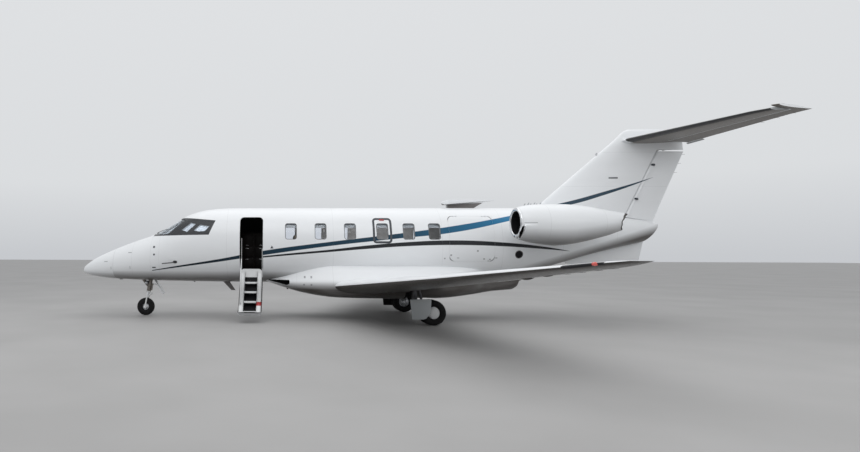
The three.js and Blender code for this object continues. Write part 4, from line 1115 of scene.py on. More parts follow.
def make_tail():
    (low_s, low_z), (high_s, high_z) = TAIL_END
    lean = (high_s - low_s) / (high_z - low_z)
    beyond = [(low_s - 0.3 * lean, low_z - 0.3), (low_s + 1.5, low_z - 0.3),
              (high_s + 1.5, high_z + 0.3), (high_s + 0.3 * lean, high_z + 0.3)]
    cone = cut(hull(CABIN_END, TAIL_TIP), plate(beyond, -0.6, 0.6, number=1))
    piece("tail_skin", cone, "tail grey", replaces="tail_body", skin=True)
    tip = Vector((at((low_s + high_s) / 2), 0, (low_z + high_z) / 2))
    away = Vector((high_z - low_z, 0, low_s - high_s)).normalized()
    lens = lathe([(0, 0.045), (0.02, 0.043), (0.034, 0.03), (0.04, 0.0)], 24)
    turn = Vector((1, 0, 0)).rotation_difference(away).to_matrix().to_4x4()
    piece("tail_lamp", lens.moved(Matrix.Translation(tip) @ turn), "lens")
    x, z, r = at(11.827), 1.745, 0.105
    rim = circle(x, z, r, r, 32)
    inner = [(x + (p[0] - x) * 0.86, z + (p[1] - z) * 0.86) for p in rim]
    both("vent_rims", skin_band(rim, inner, 0.008), "shade", slot="steel")
    both("vent_grilles", skin_patch(inner, 0.004), "dark")
    blades = [plate([(s - 0.18, 2.80), (s - 0.06, 2.80), (s + 0.09, 3.17), (s + 0.06, 3.17)], -0.123, -0.117, 0.001)
              for s in (12.37, 12.53, 12.69)]
    both("vortex_blades", gathered(*blades), "grey")


# ---- Wing to body fairing

FAIRING = [
    # station, half width, lowest z, shoulder z, top z where it meets the skin
    (5.15, 0.32, 1.020, 1.060, 1.080), (5.6, 0.62, 0.870, 1.010, 1.200), (6.2, 0.90, 0.700, 1.000, 1.360),
    (6.9, 1.15, 0.590, 1.030, 1.440), (7.5, 1.15, 0.560, 1.050, 1.450), (8.6, 1.15, 0.550, 1.060, 1.450),
    (9.9, 1.15, 0.575, 1.060, 1.450), (10.7, 1.01, 0.670, 1.090, 1.440), (11.3, 0.68, 0.755, 1.110, 1.420),
    (11.85, 0.54, 0.800, 1.120, 1.400), (11.96, 0.50, 0.860, 1.150, 1.400), (12.02, 0.46, 0.990, 1.200, 1.400),
    (12.4, 0.30, 1.220, 1.290, 1.420),
]
WELL = (9.36, 0.48, 0.38, 0.80)  # station, y, radius, roof


def fairing_loop(row):
    station, half, low, shoulder, top = row
    side = [(0, low), (0.25, low), (0.5, low + 0.01 * (shoulder - low)), (0.78, low + 0.12 * (shoulder - low)),
            (0.93, low + 0.35 * (shoulder - low)), (1, low + 0.68 * (shoulder - low)), (1, shoulder),
            (0.93, shoulder + 0.32 * (top - shoulder)), (0.82, shoulder + 0.72 * (top - shoulder)),
            (0.66, top), (0.3, top), (0, top)]
    path = smooth_path([(0, share * half, z) for share, z in side], 4)
    right = [(at(station), p.y, p.z) for p in path]
    return [*right, *[(x, -y, z) for x, y, z in reversed(right[1:-1])]]


def make_fairing():
    smooth = [fairing_loop(between(FAIRING, s)) for s in spread(5.15, 66, 11.3)]
    blunt = [fairing_loop(along(FAIRING, s)) for s in spread(11.3, 5, 11.85, 2, 11.96, 2, 12.02, 4, 12.4)[1:]]
    station, y, radius, roof = WELL
    well = lathe([(0, 0), (0, radius), (roof, radius), (roof, 0)], 48, "z", 1).shifted(at(station), -y, 0)
    slot = block((at(8.87), at(9.05)), (-1.22, -0.52), (0, 0.76), 0).numbered(1)
    inlet = [(5.30, 1.046), (5.85, 1.046), (5.87, 1.02), (5.865, 0.94), (5.80, 0.905), (5.30, 1.022)]
    mouth = plate(inlet, -1.0, -0.40, number=1)
    # The wells, the slot and the inlet's mouth are cut with faces numbered 1, which take the dark material: painted
    # shade in the recesses.
    made = cut(loft([*smooth, *blunt]), hull(4.3, 14.0, 0.004), both_sides(well), both_sides(slot), both_sides(mouth))
    piece("fairing_skin", made, "fairing dark", replaces="belly_fairing", sharp=38)


# ---- Wing, tailplane and fin

WING = [  # span, leading edge, trailing edge, z, thickness share
    (1.1504, 7.04, 9.79, 0.905, 0.14), (5.23, 8.47, 10.06, 1.280, 0.125), (8.0, 9.44, 10.24, 1.555, 0.11),
    (8.35, 9.72, 10.31, 1.610, 0.10), (HALF_SPAN, 10.06, 10.36, 1.650, 0.09),
]
WING_HINGE_SHARE = 0.74
FLAP_SPAN = (1.215, 5.200)
FLAP_INNER_CUT = 1.180
AILERON_SPAN = (5.240, 7.900)
TIP_SPAN, TIP_ROUND, TIP_LENS_END = 8.0, 0.08, 8.36
WING_TALL = (0.3, 2.3)
STABILISER_Z = 4.88
STABILISER = [
    (0, 14.96, 16.64, STABILISER_Z, 0.10), (3.10, 15.92, 16.79, STABILISER_Z, 0.09),
    (3.56, 16.18, 16.85, STABILISER_Z, 0.085),
]
STABILISER_TALL = (STABILISER_Z - 0.3, STABILISER_Z + 0.3)
BOOT_SHARE = 0.075  # of the chord, along the leading edge
ELEVATOR_HINGE = [(0.230, 16.13), (3.560, 16.56)]
ELEVATOR_SPAN = 0.230
HORN_SPAN, HORN_AHEAD = 3.440, 1.2
ELEVATOR_DROOP = 9.5
FIN = [(2.5, 12.0, 15.715, 0.30), (3.13, 12.77, 15.995, 0.28), (4.6, 14.47, 16.67, 0.20), (5.01, 14.95, 16.60, 0.18)]
FIN_CAP = [
    (4.56, 14.44, 16.66, 0.200), (5.00, 14.92, 16.61, 0.190), (5.15, 15.08, 16.42, 0.140), (5.205, 15.21, 16.25, 0.040),
]
RUDDER_HINGE = ((15.06, 2.76), (15.99, 4.59))
RUDDER_TOP, RUDDER_FOOT, RUDDER_HEEL = 4.59, 2.775, 2.63
RUDDER_RADII = (0.072, 0.066)
CHORD = [(1 - math.cos(math.pi * i / 26)) / 2 for i in range(27)]


def thickness(c):
    """Half the thickness of a wing section at a share of its chord, as a share of the greatest."""
    return max(0.035, 10 * (0.2969 * math.sqrt(c) - 0.1260 * c - 0.3516 * c ** 2 + 0.2843 * c ** 3 - 0.1036 * c ** 4))


def section_loop(leading, trailing, half, place):
    chord = trailing - leading
    upper = [place(leading + c * chord, thickness(c) * half if c else 0) for c in CHORD]
    lower = [place(leading + c * chord, -thickness(c) * half) for c in CHORD[1:]]
    return [*upper, *reversed(lower)]


def surface(rows, edge, marked_edge):
    """A wing or tailplane half on the port side from a table's rows: its underside is numbered 3, and
    its leading edge, as many faces deep above and below as edge says, takes what marked_edge gives for the
    row's number and span, unless that is None."""
    loops = []
    for span, leading, trailing, z, share in rows:
        half = (trailing - leading) * share / 2
        loops.append(section_loop(leading, trailing, half, lambda s, t: (at(s), -span, z + t)))
    made = loft(loops)
    count = len(loops[0])
    # Faces under the section take number 3, the underside's painted shade.
    for f in range((len(loops) - 1) * count):
        i, j = divmod(f, count)
        marked = marked_edge(i, rows[i][0])
        if (j < edge[0] or count - 1 - j < edge[1]) and marked is not None:
            made.numbers[f] = marked
        elif j > len(CHORD) - 2:
            made.numbers[f] = 3
    return made


def spread(*limits):
    """Places between limits, each pair with its count of steps."""
    places = [limits[0]]
    for count, end in zip(limits[1::2], limits[2::2]):
        start = places[-1]
        places += [start + (end - start) * (i + 1) / count for i in range(count)]
    return places


def behind(hinge, inner, outer, ahead, tall, number=0):
    """The space aft of a hinge line between two spans."""
    outline = [(at(hinge(inner)) - ahead, -inner), (at(hinge(outer)) - ahead, -outer),
               (at(LENGTH) + 0.4, -outer), (at(LENGTH) + 0.4, -inner)]
    return prism(outline, "xy", *tall, number=number)


def wing_hinge(span):
    _, leading, trailing, _, _ = along(WING, span)
    return leading + WING_HINGE_SHARE * (trailing - leading)


def elevator_hinge(span):
    return along(ELEVATOR_HINGE, span)[1]


def nose_bar(table, hinge, spans):
    """The round nose of a control surface on its hinge line, and the greatest radius of it."""
    ends, sizes = [], []
    for span in spans:
        _, leading, trailing, z, thick = along(table, span)
        ends.append((at(hinge(span)), -span, z))
        sizes.append((trailing - leading) * thick * 0.55 / 2)
    return tube(ends, sizes, 28), max(sizes)


def wicks(name, coats, body, rows, droop=lambda shape: shape, fitted=pair):
    """Static wicks from rows of a trailing edge's (x, y, z), reach aft and rise."""
    made = gathered(*(tube([(x - 0.02, y, z), (x + reach, y, z + rise)], [0.0035, 0.002], 6)
                      for x, y, z, reach, rise in rows))
    fitted(name, droop(made), coats, body)


def make_wings():
    rows = [along(WING, s) for s in spread(WING[0][0], 10, 5.23, 8, TIP_SPAN)]
    for i in range(1, 15):
        span, leading, trailing, z, share = between(WING, TIP_SPAN + (HALF_SPAN - TIP_SPAN) * i / 14)
        late = (span - (HALF_SPAN - TIP_ROUND)) / TIP_ROUND
        squeeze = 1 if late < 0 else max(0.08, math.sqrt(max(0, 1 - late ** 2)))
        rows.append((span, leading, trailing, z, share * squeeze))
    whole = surface(rows, (4, 4), lambda i, span: 1 if TIP_SPAN - 0.01 < span < TIP_LENS_END else None)
    bar, radius = nose_bar(WING, wing_hinge, AILERON_SPAN)
    flap_cut = behind(wing_hinge, FLAP_INNER_CUT, AILERON_SPAN[0], 0.012, WING_TALL, 2)
    aileron_cut = behind(wing_hinge, AILERON_SPAN[0] - DOOR_GAP, AILERON_SPAN[1] + DOOR_GAP, radius + DOOR_GAP,
                         WING_TALL, 2)
    pad = block((at(8.25), at(8.35)), (-1.95, -1.85), (0.785, 0.86), 0.003).numbered(3)
    flap = kept(whole, behind(wing_hinge, *FLAP_SPAN, 0.0115, WING_TALL, 2))
    aileron = united(kept(whole, behind(wing_hinge, *AILERON_SPAN, 0, WING_TALL)), bar)
    for name, shape, body in (("wing", cut(whole, flap_cut, aileron_cut).add(pad), "airframe"),
                              ("flap", flap, "flap_{}"), ("aileron", aileron, "aileron_{}")):
        pair(name + "_{}_skin", shape, "white lens grey wing_under", body, name + "_{}", sharp=28)
    canoes = Shape()
    for span, drop, length in ((6.30, 0.110, 0.40), (6.85, 0.080, 0.36)):
        _, leading, trailing, z, share = along(WING, span)
        foot = z - (trailing - leading) * share * 0.24
        loops = []
        for t in (i / 12 for i in range(13)):
            swell = math.sin(math.pi * t) ** 0.6 + 0.02
            x = at(wing_hinge(span)) - length * 0.62 + length * t
            middle = foot + 0.06 * t - 0.01 + drop * 0.5 - drop * swell * 0.55
            loops.append([(x, y, z) for y, z in circle(-span, middle, 0.035 * swell, -drop * swell * 0.45, 16)])
        canoes.add(loft(loops))
    pair("flap_fairings_{}", canoes, "wing_under")
    for side, name, colour in ((-1, "port", "red_lamp"), (1, "starboard", "green_lamp")):
        bulb = lathe([(-0.035, 0), (-0.03, 0.02), (0, 0.028), (0.035, 0.018), (0.045, 0)], 20)
        _, leading, _, z, _ = between(WING, 8.335)
        piece("tip_lamp_" + name, bulb.shifted(at(leading) + 0.012, side * 8.335, z), colour)
    edges = [along(WING, span) for span in (6.6, 7.0, 7.4, 7.75)]
    wicks("wicks_aileron_{}", "dark", "aileron_{}", [(at(row[2]), -row[0], row[3], 0.13, 0.004) for row in edges])


def make_tailplane():
    def drooped(shape):
        inner, outer = (Vector((at(elevator_hinge(s)), -s, STABILISER_Z)) for s in (ELEVATOR_SPAN, HORN_SPAN))
        return shape.turned(-ELEVATOR_DROOP, outer - inner, inner)
    rows = [along(STABILISER, s) for s in spread(0, 1, 0.20, 8, 3.10, 6, 3.56)]
    boot = sum(1 for c in CHORD if c < BOOT_SHARE)
    whole = surface(rows, (boot, boot + 1), lambda i, span: 1 if i else 0)
    bar, radius = nose_bar(STABILISER, elevator_hinge, (ELEVATOR_SPAN, HORN_SPAN + 0.02))
    spaces = [(ELEVATOR_SPAN - DOOR_GAP, radius + DOOR_GAP, 2), (HORN_SPAN - DOOR_GAP, HORN_AHEAD, 2),
              (ELEVATOR_SPAN, 0, 0), (HORN_SPAN, HORN_AHEAD, 0)]
    slot, horn_slot, blade, horn = (behind(elevator_hinge, span, 4.0, ahead, STABILISER_TALL, number)
                                    for span, ahead, number in spaces)
    fixed = cut(whole, slot, horn_slot)
    coats = "white boot grey tail_under"
    piece("stabiliser_skin", united(fixed, fixed.mirrored()), coats, replaces="stabiliser", sharp=28)
    elevator = united(kept(whole, united(blade, horn)), bar).renumbered(3, lambda face, number: number == 1)
    pair("elevator_{}_skin", drooped(elevator), coats, "elevator_{}", "elevator_{}", sharp=28)
    tab = []
    for span in (0.24, 0.80):
        x, z = at(along(STABILISER, span)[2]), STABILISER_Z
        tab.append([(x - back, -span, z - drop)
                    for back, drop in ((0.05, 0.030), (0.01, 0.048), (0.01, 0.056), (0.05, 0.040))])
    pair("elevator_tab_{}", drooped(loft(tab)), "grey", "elevator_{}")
    edges = [(at(along(STABILISER, span)[2]), -span, STABILISER_Z) for span in (2.4, 2.8, 3.2, 3.45)]
    wicks("wicks_elevator_{}", "dark", "elevator_{}",
          [(*edge, min(0.10, LENGTH / 2 - 0.015 - edge[0]), 0) for edge in edges], drooped)


def rudder_line(z):
    (s0, z0), (s1, z1) = RUDDER_HINGE
    return s0 + (z - z0) * (s1 - s0) / (z1 - z0)


def rudder_prism(ahead, low, high, number=0):
    outline = [(at(rudder_line(low)) - ahead, low), (at(LENGTH) + 0.5, low), (at(LENGTH) + 0.5, high),
               (at(rudder_line(high)) - ahead, high)]
    return prism(outline, "xz", -0.4, 0.4, number=number)


def fin_loft(table, places, row_at=along):
    loops = []
    for z, leading, trailing, thick in (row_at(table, place) for place in places):
        loops.append(section_loop(leading, trailing, thick / 2, lambda s, t: (at(s), t, z)))
    return loft(loops)


def make_fin():
    body = fin_loft(FIN, spread(2.5, 4, 3.13, 8, 4.6, 3, 5.01))
    cap = fin_loft(FIN_CAP, spread(4.56, 4, 5.00, 5, 5.15, 5, 5.205), between)
    whole = united(body, cap)
    gap = RUDDER_RADII[0] + DOOR_GAP + 0.004
    fixed = cut(whole, rudder_prism(gap, RUDDER_FOOT - 0.43, RUDDER_TOP + DOOR_GAP + 0.034, 1))
    piece("fin_skin", fixed, "fin grey", replaces="fin", sharp=28)
    nose = tube([(at(rudder_line(z)), 0, z) for z in (RUDDER_FOOT, RUDDER_TOP - 0.012)], RUDDER_RADII, 32)
    rudder = united(kept(whole, rudder_prism(0, RUDDER_HEEL, RUDDER_TOP)), nose)
    rudder = cut(rudder, hull(14.0, TAIL_TIP, -0.018))
    piece("rudder_skin", rudder.numbered(0), "fin", "rudder", replaces="rudder", sharp=28)
    brackets = Shape()
    for z in (3.275, 4.210):
        s = rudder_line(z)
        knob = [(s - 0.03, z - 0.02), (s + 0.04, z - 0.03), (s + 0.03, z + 0.02), (s - 0.03, z + 0.03)]
        brackets.add(plate(knob, -0.128, 0.128, 0.006))
    piece("rudder_brackets", brackets, "outline")
    strake = [(13.0, 1.8), (13.5, 1.48), (15.38, 1.60), (15.57, 2.35), (14.9, 2.2)]
    piece("ventral_fin_skin", plate(strake, -0.016, 0.016, 0.008), "white", replaces="ventral_fin")
    dash = [(14.59, 3.828), (14.83, 3.828), (14.83, 3.870), (14.59, 3.870)]
    both("fin_lamps", plate(dash, -0.124, -0.110, 0.004), "frame")
    piece("fin_probe", rounded_bar((at(14.33), 0, 4.50), (at(14.36), 0, 4.56), 0.02), "steel")
    wicks("wicks_rudder", "dark", "rudder", [(at(along(FIN, z)[2]), 0, z, 0.09, 0.01) for z in (4.0, 4.25, 4.5)],
          fitted=piece)


# ---- Engines

ENGINE = (1.8, 2.5)  # y, z
FAN_STATION, NOZZLE_FROM = 11.90, 13.6
NACELLE = [  # station, radius: the outside from the lip to the nozzle
    (11.37, 0.330), (11.374, 0.348), (11.395, 0.368), (11.50, 0.410), (11.75, 0.465), (12.20, 0.503), (12.55, 0.496),
    (13.05, 0.425), (13.65, 0.285), (13.96, 0.210),
]
DUCT = [  # the inside, from the nozzle back to the lip
    (13.96, 0.198), (13.65, 0.265), (13.1, 0.345), (12.5, 0.350), (12.2, 0.310), (11.8, 0.310), (11.45, 0.280),
    (11.393, 0.288), (11.375, 0.308),
]
LIP_END, SHADED_DUCT_ROW = 11.42, 3  # the duct takes the dark material, painted shade, from this row of it on
NACELLE_LIFT = [(11.37, 0.02), (12.30, -0.035), (13.96, 0.035)]  # station, rise of the ring's middle
SCARF, BITE, RUFFLE, LOBES = 0.075, 0.13, 0.014, 9
SCOOP = dict(start=11.375, end=12.5, reach=0.385, below=35, radius=0.118, squash=(1, 0.64, 1.85), rake=0.055)
CORE_RADIUS = 0.335  # of the space that the scoop leaves free
CORE = [  # station, radius
    (FAN_STATION - 0.03, 0), (FAN_STATION - 0.03, 0.03), (12.062, 0.03), (12.062, 0.12), (12.12, 0.15), (12.15, 0.3096),
    (12.195, 0.3096), (12.24, 0.25), (13.0, 0.23), (13.5, 0.165), (13.5, 0.115), (13.95, 0.0),
]
FAN_BLADES, FAN_RADIUS, FAN_ROOT = 22, 0.298, 0.095
SPINNER = [  # behind the fan's station, radius
    (-0.19, 0), (-0.185, 0.016), (-0.15, 0.045), (-0.10, 0.072), (-0.04, 0.092), (0, FAN_ROOT), (0.15, FAN_ROOT),
    (0.15, 0.031), (-0.04, 0.031), (-0.04, 0),
]
BLADE_SECTION = [(-0.5, 0), (-0.2, 0.004), (0.2, 0.004), (0.5, 0), (0.2, -0.002), (-0.2, -0.002)]


def to_engine(shape):
    return shape.shifted(0, -ENGINE[0], ENGINE[1])


def spun(profile, sides=64, number=0):
    """A profile of (station, radius) turned about the engine's axis."""
    return lathe([(at(s), r) for s, r in profile], sides, number=number)


def nacelle_ring(station, radius, sides=96):
    """A ring about the engine's axis; at the nozzle its top reaches aft and its rim is ruffled."""
    rise = along(NACELLE_LIFT, station)[1]
    late = max(0, (station - NOZZLE_FROM) / 0.36)
    ring = []
    for j in range(sides):
        turn = 2 * math.pi * j / sides
        ruffle = RUFFLE * (0.5 - 0.5 * math.cos(LOBES * turn))
        shift = late * (SCARF * math.sin(turn) - BITE * math.cos(turn) ** 2 - ruffle)
        ring.append((at(station) + shift, radius * math.cos(turn), radius * math.sin(turn) + rise))
    return ring


def scoop_part(profile, number=0, closed=False):
    """A part of the scoop from its (behind the mouth, radius less the scoop's) profile; the mouth is oval
    and raked outboard."""
    x0, radius, rake = at(SCOOP["start"]), SCOOP["radius"], SCOOP["rake"]
    made = lathe([(x0 + a, max(0, radius + r)) for a, r in profile], 48, number=number, closed=closed)
    made.points = [(x + rake * max(0, 1 - max(0, x - x0) / 0.5) * (0.5 + z / radius / 2), y, z)
                   for x, y, z in made.points]
    turn = Matrix.Rotation(math.radians(SCOOP["below"]), 4, "X")
    return made.moved(turn @ Matrix.Translation((0, -SCOOP["reach"], 0)) @ Matrix.Diagonal((*SCOOP["squash"], 1)))


def fan_blade():
    rows = []
    for t in (i / 6 for i in range(7)):
        radius = FAN_ROOT - 0.012 + (FAN_RADIUS - FAN_ROOT + 0.012) * t
        lean, chord = math.radians(25 + 35 * t), 0.11 - 0.01 * t
        c, s = math.cos(lean), math.sin(lean)
        section = [(u * chord, w + 0.014 * (u * u - 0.1)) for u, w in BLADE_SECTION]
        rows.append([(at(FAN_STATION) + 0.03 + a * c - b * s, a * s + b * c, radius) for a, b in section])
    return loft(rows)


def make_nacelles():
    places = spread(11.37, 2, 11.395, 3, 11.50, 4, 11.75, 10, 12.55, 18, 13.90, 1, 13.96)
    outside = [between(NACELLE, s)[:2] for s in places]
    rings = [nacelle_ring(s, r) for s, r in [*outside, *DUCT]]
    ring = loft(rings, closed=True)
    lip, inside = sum(1 for s, _ in outside if s < LIP_END), len(outside)
    for f in range(len(ring.faces)):
        i = f // len(rings[0])
        if i < lip - 1 or i >= len(rings) - 2:
            ring.numbers[f] = 1
        elif i >= inside - 2:
            ring.numbers[f] = 3 if i >= inside + SHADED_DUCT_ROW else 2
    far = -SCOOP["radius"]
    length = SCOOP["end"] - SCOOP["start"]
    bulge = scoop_part([(0, far), (0, -0.014), (0.006, -0.008), (0.04, 0), (0.5, 0.005), (0.8, -0.02), (length, -0.07),
                        (length, far)])
    # The scoop's mouth is cut with faces numbered 3, the dark material: painted shade in the recess.
    mouth = scoop_part([(-0.02, far), (-0.02, -0.022), (0.05, -0.026), (0.3, -0.06), (0.3, far)], 3)
    hole = spun([(11.0, 0), (11.0, CORE_RADIUS), (14.3, CORE_RADIUS), (14.3, 0)], number=2)
    nacelle = united(ring, cut(bulge, hole))
    nacelle = cut(nacelle, cut(mouth, hole))
    pair("nacelle_{}_skin", to_engine(nacelle), "nacelle lip nozzle dark", replaces="nacelle_{}", sharp=34)
    rim = scoop_part([(-0.004, -0.022), (-0.008, -0.014), (0, -0.006), (0.02, -0.002), (0.02, -0.024)], closed=True)
    pair("scoop_rim_{}", to_engine(cut(rim, hole)), "lip")
    pair("engine_core_{}_body", to_engine(spun(CORE)), "nozzle", replaces="engine_core_{}")
    fan = spun([(FAN_STATION + s, r) for s, r in SPINNER], 48)
    for k in range(FAN_BLADES):
        fan.add(fan_blade().turned(k * 360 / FAN_BLADES, (1, 0, 0)))
    pair("fan_{}_rotor", to_engine(fan), "fan", "fan_{}", replaces="fan_{}", sharp=40)
    rows = []
    for y in (0.3 + (ENGINE[0] - 0.3) * i / 8 for i in range(9)):
        rows.append(section_loop(11.95, 13.95 - 0.1 * y, 0.09, lambda s, t: (at(s), -y, ENGINE[1] - 0.06 + t)))
    beam = kept(loft(rows), block((at(11.0), at(15.0)), (-ENGINE[0], -0.3), (1.8, 3.0), 0))
    keep = to_engine(spun([(11.36, 0), *[(s, r - 0.006) for s, r in outside[1:-1]], (13.97, 0)], 48))
    pair("pylon_{}_skin", cut(beam, keep), "white", replaces="pylon_{}")


# ---- Roof housing

ROOF_FOOT = [(10.24, 2.990), (10.93, 2.990), (11.27, 3.190), (10.24, 3.140)]  # station, z
ROOF_WEDGE = [(10.09, 3.170), (10.16, 3.122), (11.54, 3.236), (11.54, 3.252), (10.30, 3.252), (10.14, 3.225)]
ROOF_PLATE = [(10.10, 0), (10.16, 0.11), (10.32, 0.16), (10.80, 0.13), (11.53, 0.012)]  # station, y


def make_roof():
    foot = plate(ROOF_FOOT, -0.045, 0.045, 0.012, 1, 3)
    half = [(at(s), y, 0) for s, y in ROOF_PLATE]
    outline = [(p.x, p.y) for p in smooth_path([*half, *[(x, -y, 0) for x, y, _ in reversed(half)]], 5)][:-1]
    wedge = kept(prism(outline, "xy", 3.10, 3.26), plate(ROOF_WEDGE, -0.2, 0.2))
    housing = bevelled(wedge, 0.006).renumbered(1, lambda face, _: normal([Vector(p) for p in face[:4]]).z < -0.5)
    piece("roof_housing", gathered(foot, housing), "white shade", replaces="roof_antenna")


# ---- Landing gear

NOSE_WHEEL = (1.81, 0.245, 0.08)  # station, radius, half width
NOSE_LEG_TOP = (1.945, 1.06)
MAIN_WHEEL = (9.36, 0.31, 0.095)
MAIN_Y = (1.5, 1.8)
MAIN_LEG = 8.96
MAIN_KNEE_Z = 0.43
BAY_HALF = 0.15
NOSE_TOP = Vector((at(NOSE_LEG_TOP[0]), 0, NOSE_LEG_TOP[1]))
NOSE_HUB = Vector((at(NOSE_WHEEL[0]), 0, NOSE_WHEEL[1]))
TYRE_BEAD = [(-0.55, 0.9), (-0.72, 0.96), (-0.86, 1.02)]  # share of the half width, share of the rim
TYRE_WALL = [(-0.985, 0.30), (-1.0, 0.42), (-0.97, 0.62), (-0.88, 0.82), (-0.72, 0.93), (-0.5, 0.975)]  # of the wall
GROOVES, GROOVE_HALF, GROOVE_DEEP = (-0.42, -0.14, 0.14, 0.42), 0.035, 0.006
FLANGES = [(0.55, 0.93), (0.62, 0.99), (0.5, 0.99), (0.42, 0.90)]  # share of the half width, share of the radius


def tyre(radius, half, rim):
    """A tyre with circumferential grooves, turned about Y."""
    wall = radius - rim
    side = [(a * half, rim * r) for a, r in TYRE_BEAD] + [(a * half, rim + wall * r) for a, r in TYRE_WALL]
    profile = list(side)
    tread, foot = radius - wall * 0.012, radius - wall * 0.012 - GROOVE_DEEP
    for groove in GROOVES:
        profile += [(half * (groove + share * GROOVE_HALF), r)
                    for share, r in ((-1, tread), (-0.8, foot), (0.8, foot), (1, tread))]
        if groove == GROOVES[1]:
            profile.append((0, radius))
    return lathe([*profile, *[(-a, r) for a, r in reversed(side)]], 96, "y", closed=True)


def rim(radius, half, bore, disc, holes=8):
    """A wheel's two flanges with a dished, holed disc and its bolts, turned about Y."""
    flanges = [(-half * a, radius * r) for a, r in FLANGES]
    flanges += [(-a, r) for a, r in reversed(flanges)] + [(half * 0.30, radius * 0.82), (-half * 0.30, radius * 0.82)]
    deep = half * disc
    dish = [(-deep, bore), (-deep - 0.006, bore * 1.7), (-deep + 0.004, radius * 0.45), (-deep + 0.012, radius * 0.84)]
    face = lathe([*dish, *[(-a, r) for a, r in reversed(dish)]], 64, "y", closed=True)
    bit = [(-half, 0), (-half, radius * 0.085), (half, radius * 0.085), (half, 0)]
    face = cut(face, gathered(*(lathe(bit, 16, "y", 1).shifted(radius * 0.62, 0, 0).turned(k * 360 / holes, (0, 1, 0))
                                for k in range(holes))))
    bolt = [(0, 0.006), (0.008, 0.006), (0.010, 0.004), (0.010, 0)]
    bolts = [lathe(bolt, 6, "y").shifted(radius * 0.34, side * (deep + 0.001), 0).turned(k * 45 + 20, (0, 1, 0))
             for k in range(8) for side in (-1, 1)]
    return lathe(flanges, 64, "y", closed=True).add(face, *bolts)


def on_leg(share, x=0.0, y=0.0):
    """A place along the nose leg, from its top to the hub, and away from it in x and y."""
    return NOSE_TOP.lerp(NOSE_HUB, share) + Vector((x, y, 0))


def make_nose_gear():
    hub, bay = NOSE_HUB, BAY_HALF - 0.0004
    _, radius, half = NOSE_WHEEL
    piece("nose_tyre", tyre(radius, half, 0.100).shifted(*hub), "rubber", "nose_wheel", replaces="nose_wheel")
    piece("nose_rim", rim(0.100, half, 0.0184, 0.28).shifted(*hub), "alloy", "nose_wheel")
    collar = 0.46
    leg = bars(
        ((NOSE_TOP.x, 0, 1.19), on_leg(0.1), 0.062, 28), (on_leg(0), on_leg(collar), 0.058, 32),
        *((on_leg(share), on_leg(share + 0.03), 0.064, 32) for share in (0.14, 0.30, 0.43)),
        ((at(1.56), 0, 1.20), on_leg(0.36), 0.024, 20), ((at(1.60), 0, 1.16), on_leg(0.30), 0.034, 20),
        *(((at(s), -bay, z), (at(s), bay, z), r, 20)
          for s, z, r in ((1.56, 1.20, 0.026), (NOSE_LEG_TOP[0], 1.18, 0.034))),
        (on_leg(0.2, 0.085, -0.03), on_leg(0.44, 0.085, -0.03), 0.02),
        (on_leg(0.22, 0.02, 0.03), on_leg(0.24, 0.10, 0.03), 0.012, 12))
    piece("nose_leg_body", leg, "nose_leg", replaces="nose_leg")
    x, _, z = on_leg(0.17, -0.085)
    can = [(-0.03, 0.045), (-0.034, 0.052), (-0.026, 0.055), (0.02, 0.045), (0.045, 0.02), (0.048, 0)]
    glass = [(-0.034, 0), (-0.036, 0.03), (-0.032, 0.049), (-0.028, 0.049), (-0.028, 0)]
    cans, glasses = (gathered(*(lathe(profile, 28).shifted(x, y, z) for y in (-0.075, 0.075)))
                     for profile in (can, glass))
    cans.add(bars(((x + 0.02, -0.075, z), (x + 0.02, 0.075, z), 0.011, 12),
                  ((x + 0.02, 0, z), (x + 0.07, 0, z), 0.012, 12)))
    piece("taxi_lamps", cans, "alloy", slot="steel")
    piece("taxi_lamp_glass", glasses, "glass")
    seat = collar + 0.0005
    crown, y0 = on_leg(0.655), half + 0.028
    fork = bars((on_leg(seat), on_leg(seat + 0.05), 0.062, 32), (on_leg(seat + 0.012), on_leg(seat + 0.04), 0.068, 32),
                ((crown.x, -y0 - 0.014, crown.z), (crown.x, y0 + 0.014, crown.z), 0.030, 24))
    nut = [(0, 0.026), (0.010, 0.024), (0.013, 0.016), (0.013, 0)]
    for side in (-1, 1):
        y = side * y0
        top, low = Vector((crown.x, y, crown.z)), Vector((hub.x, y, hub.z))
        fork.add(tube([top, top.lerp(low, 0.3), top.lerp(low, 0.8), low], [0.021, 0.019, 0.023, 0.027], 20),
                 rounded_bar((hub.x, y - 0.016, hub.z), (hub.x, y + 0.016, hub.z), 0.044, 28),
                 lathe([(side * a, r) for a, r in nut], 6, "y").shifted(hub.x, side * (y0 + 0.015), hub.z))
    fork.add(rounded_bar((hub.x, -0.1, hub.z), (hub.x, 0.1, hub.z), 0.0175, 20))
    for y in (-0.022, 0.022):
        knee = on_leg(0.56, 0.12, y)
        fork.add(bars((on_leg(seat + 0.03, 0, y), knee, 0.009, 12), (knee, on_leg(0.645, 0.02, y), 0.009, 12)))
    fork.add(rounded_bar(on_leg(0.56, 0.12, -0.034), on_leg(0.56, 0.12, 0.034), 0.013, 12))
    piece("nose_fork_body", fork, "stairs", "nose_steer", "steel", "nose_fork")
    piece("nose_piston", rounded_bar(on_leg(seat), crown, 0.036, 32), "chrome", "nose_steer")
    panel = plate([(2.075, 0.985), (2.088, 0.992), (2.330, 0.612), (2.316, 0.604)], -0.14, 0.14, 0.003)
    rib = [(2.07, 0.98), (2.085, 0.985), (2.30, 0.64), (2.275, 0.65)]
    ribs = [plate(rib, y - 0.006, y + 0.006, 0.002) for y in (-0.09, 0.09)]
    rod = rounded_bar((at(2.15), 0, 0.86), (at(2.005), 0, 0.878), 0.012, 12)
    piece("nose_gear_door_panel", gathered(panel, *ribs, rod), "white", slot="grey_paint", replaces="nose_gear_door")


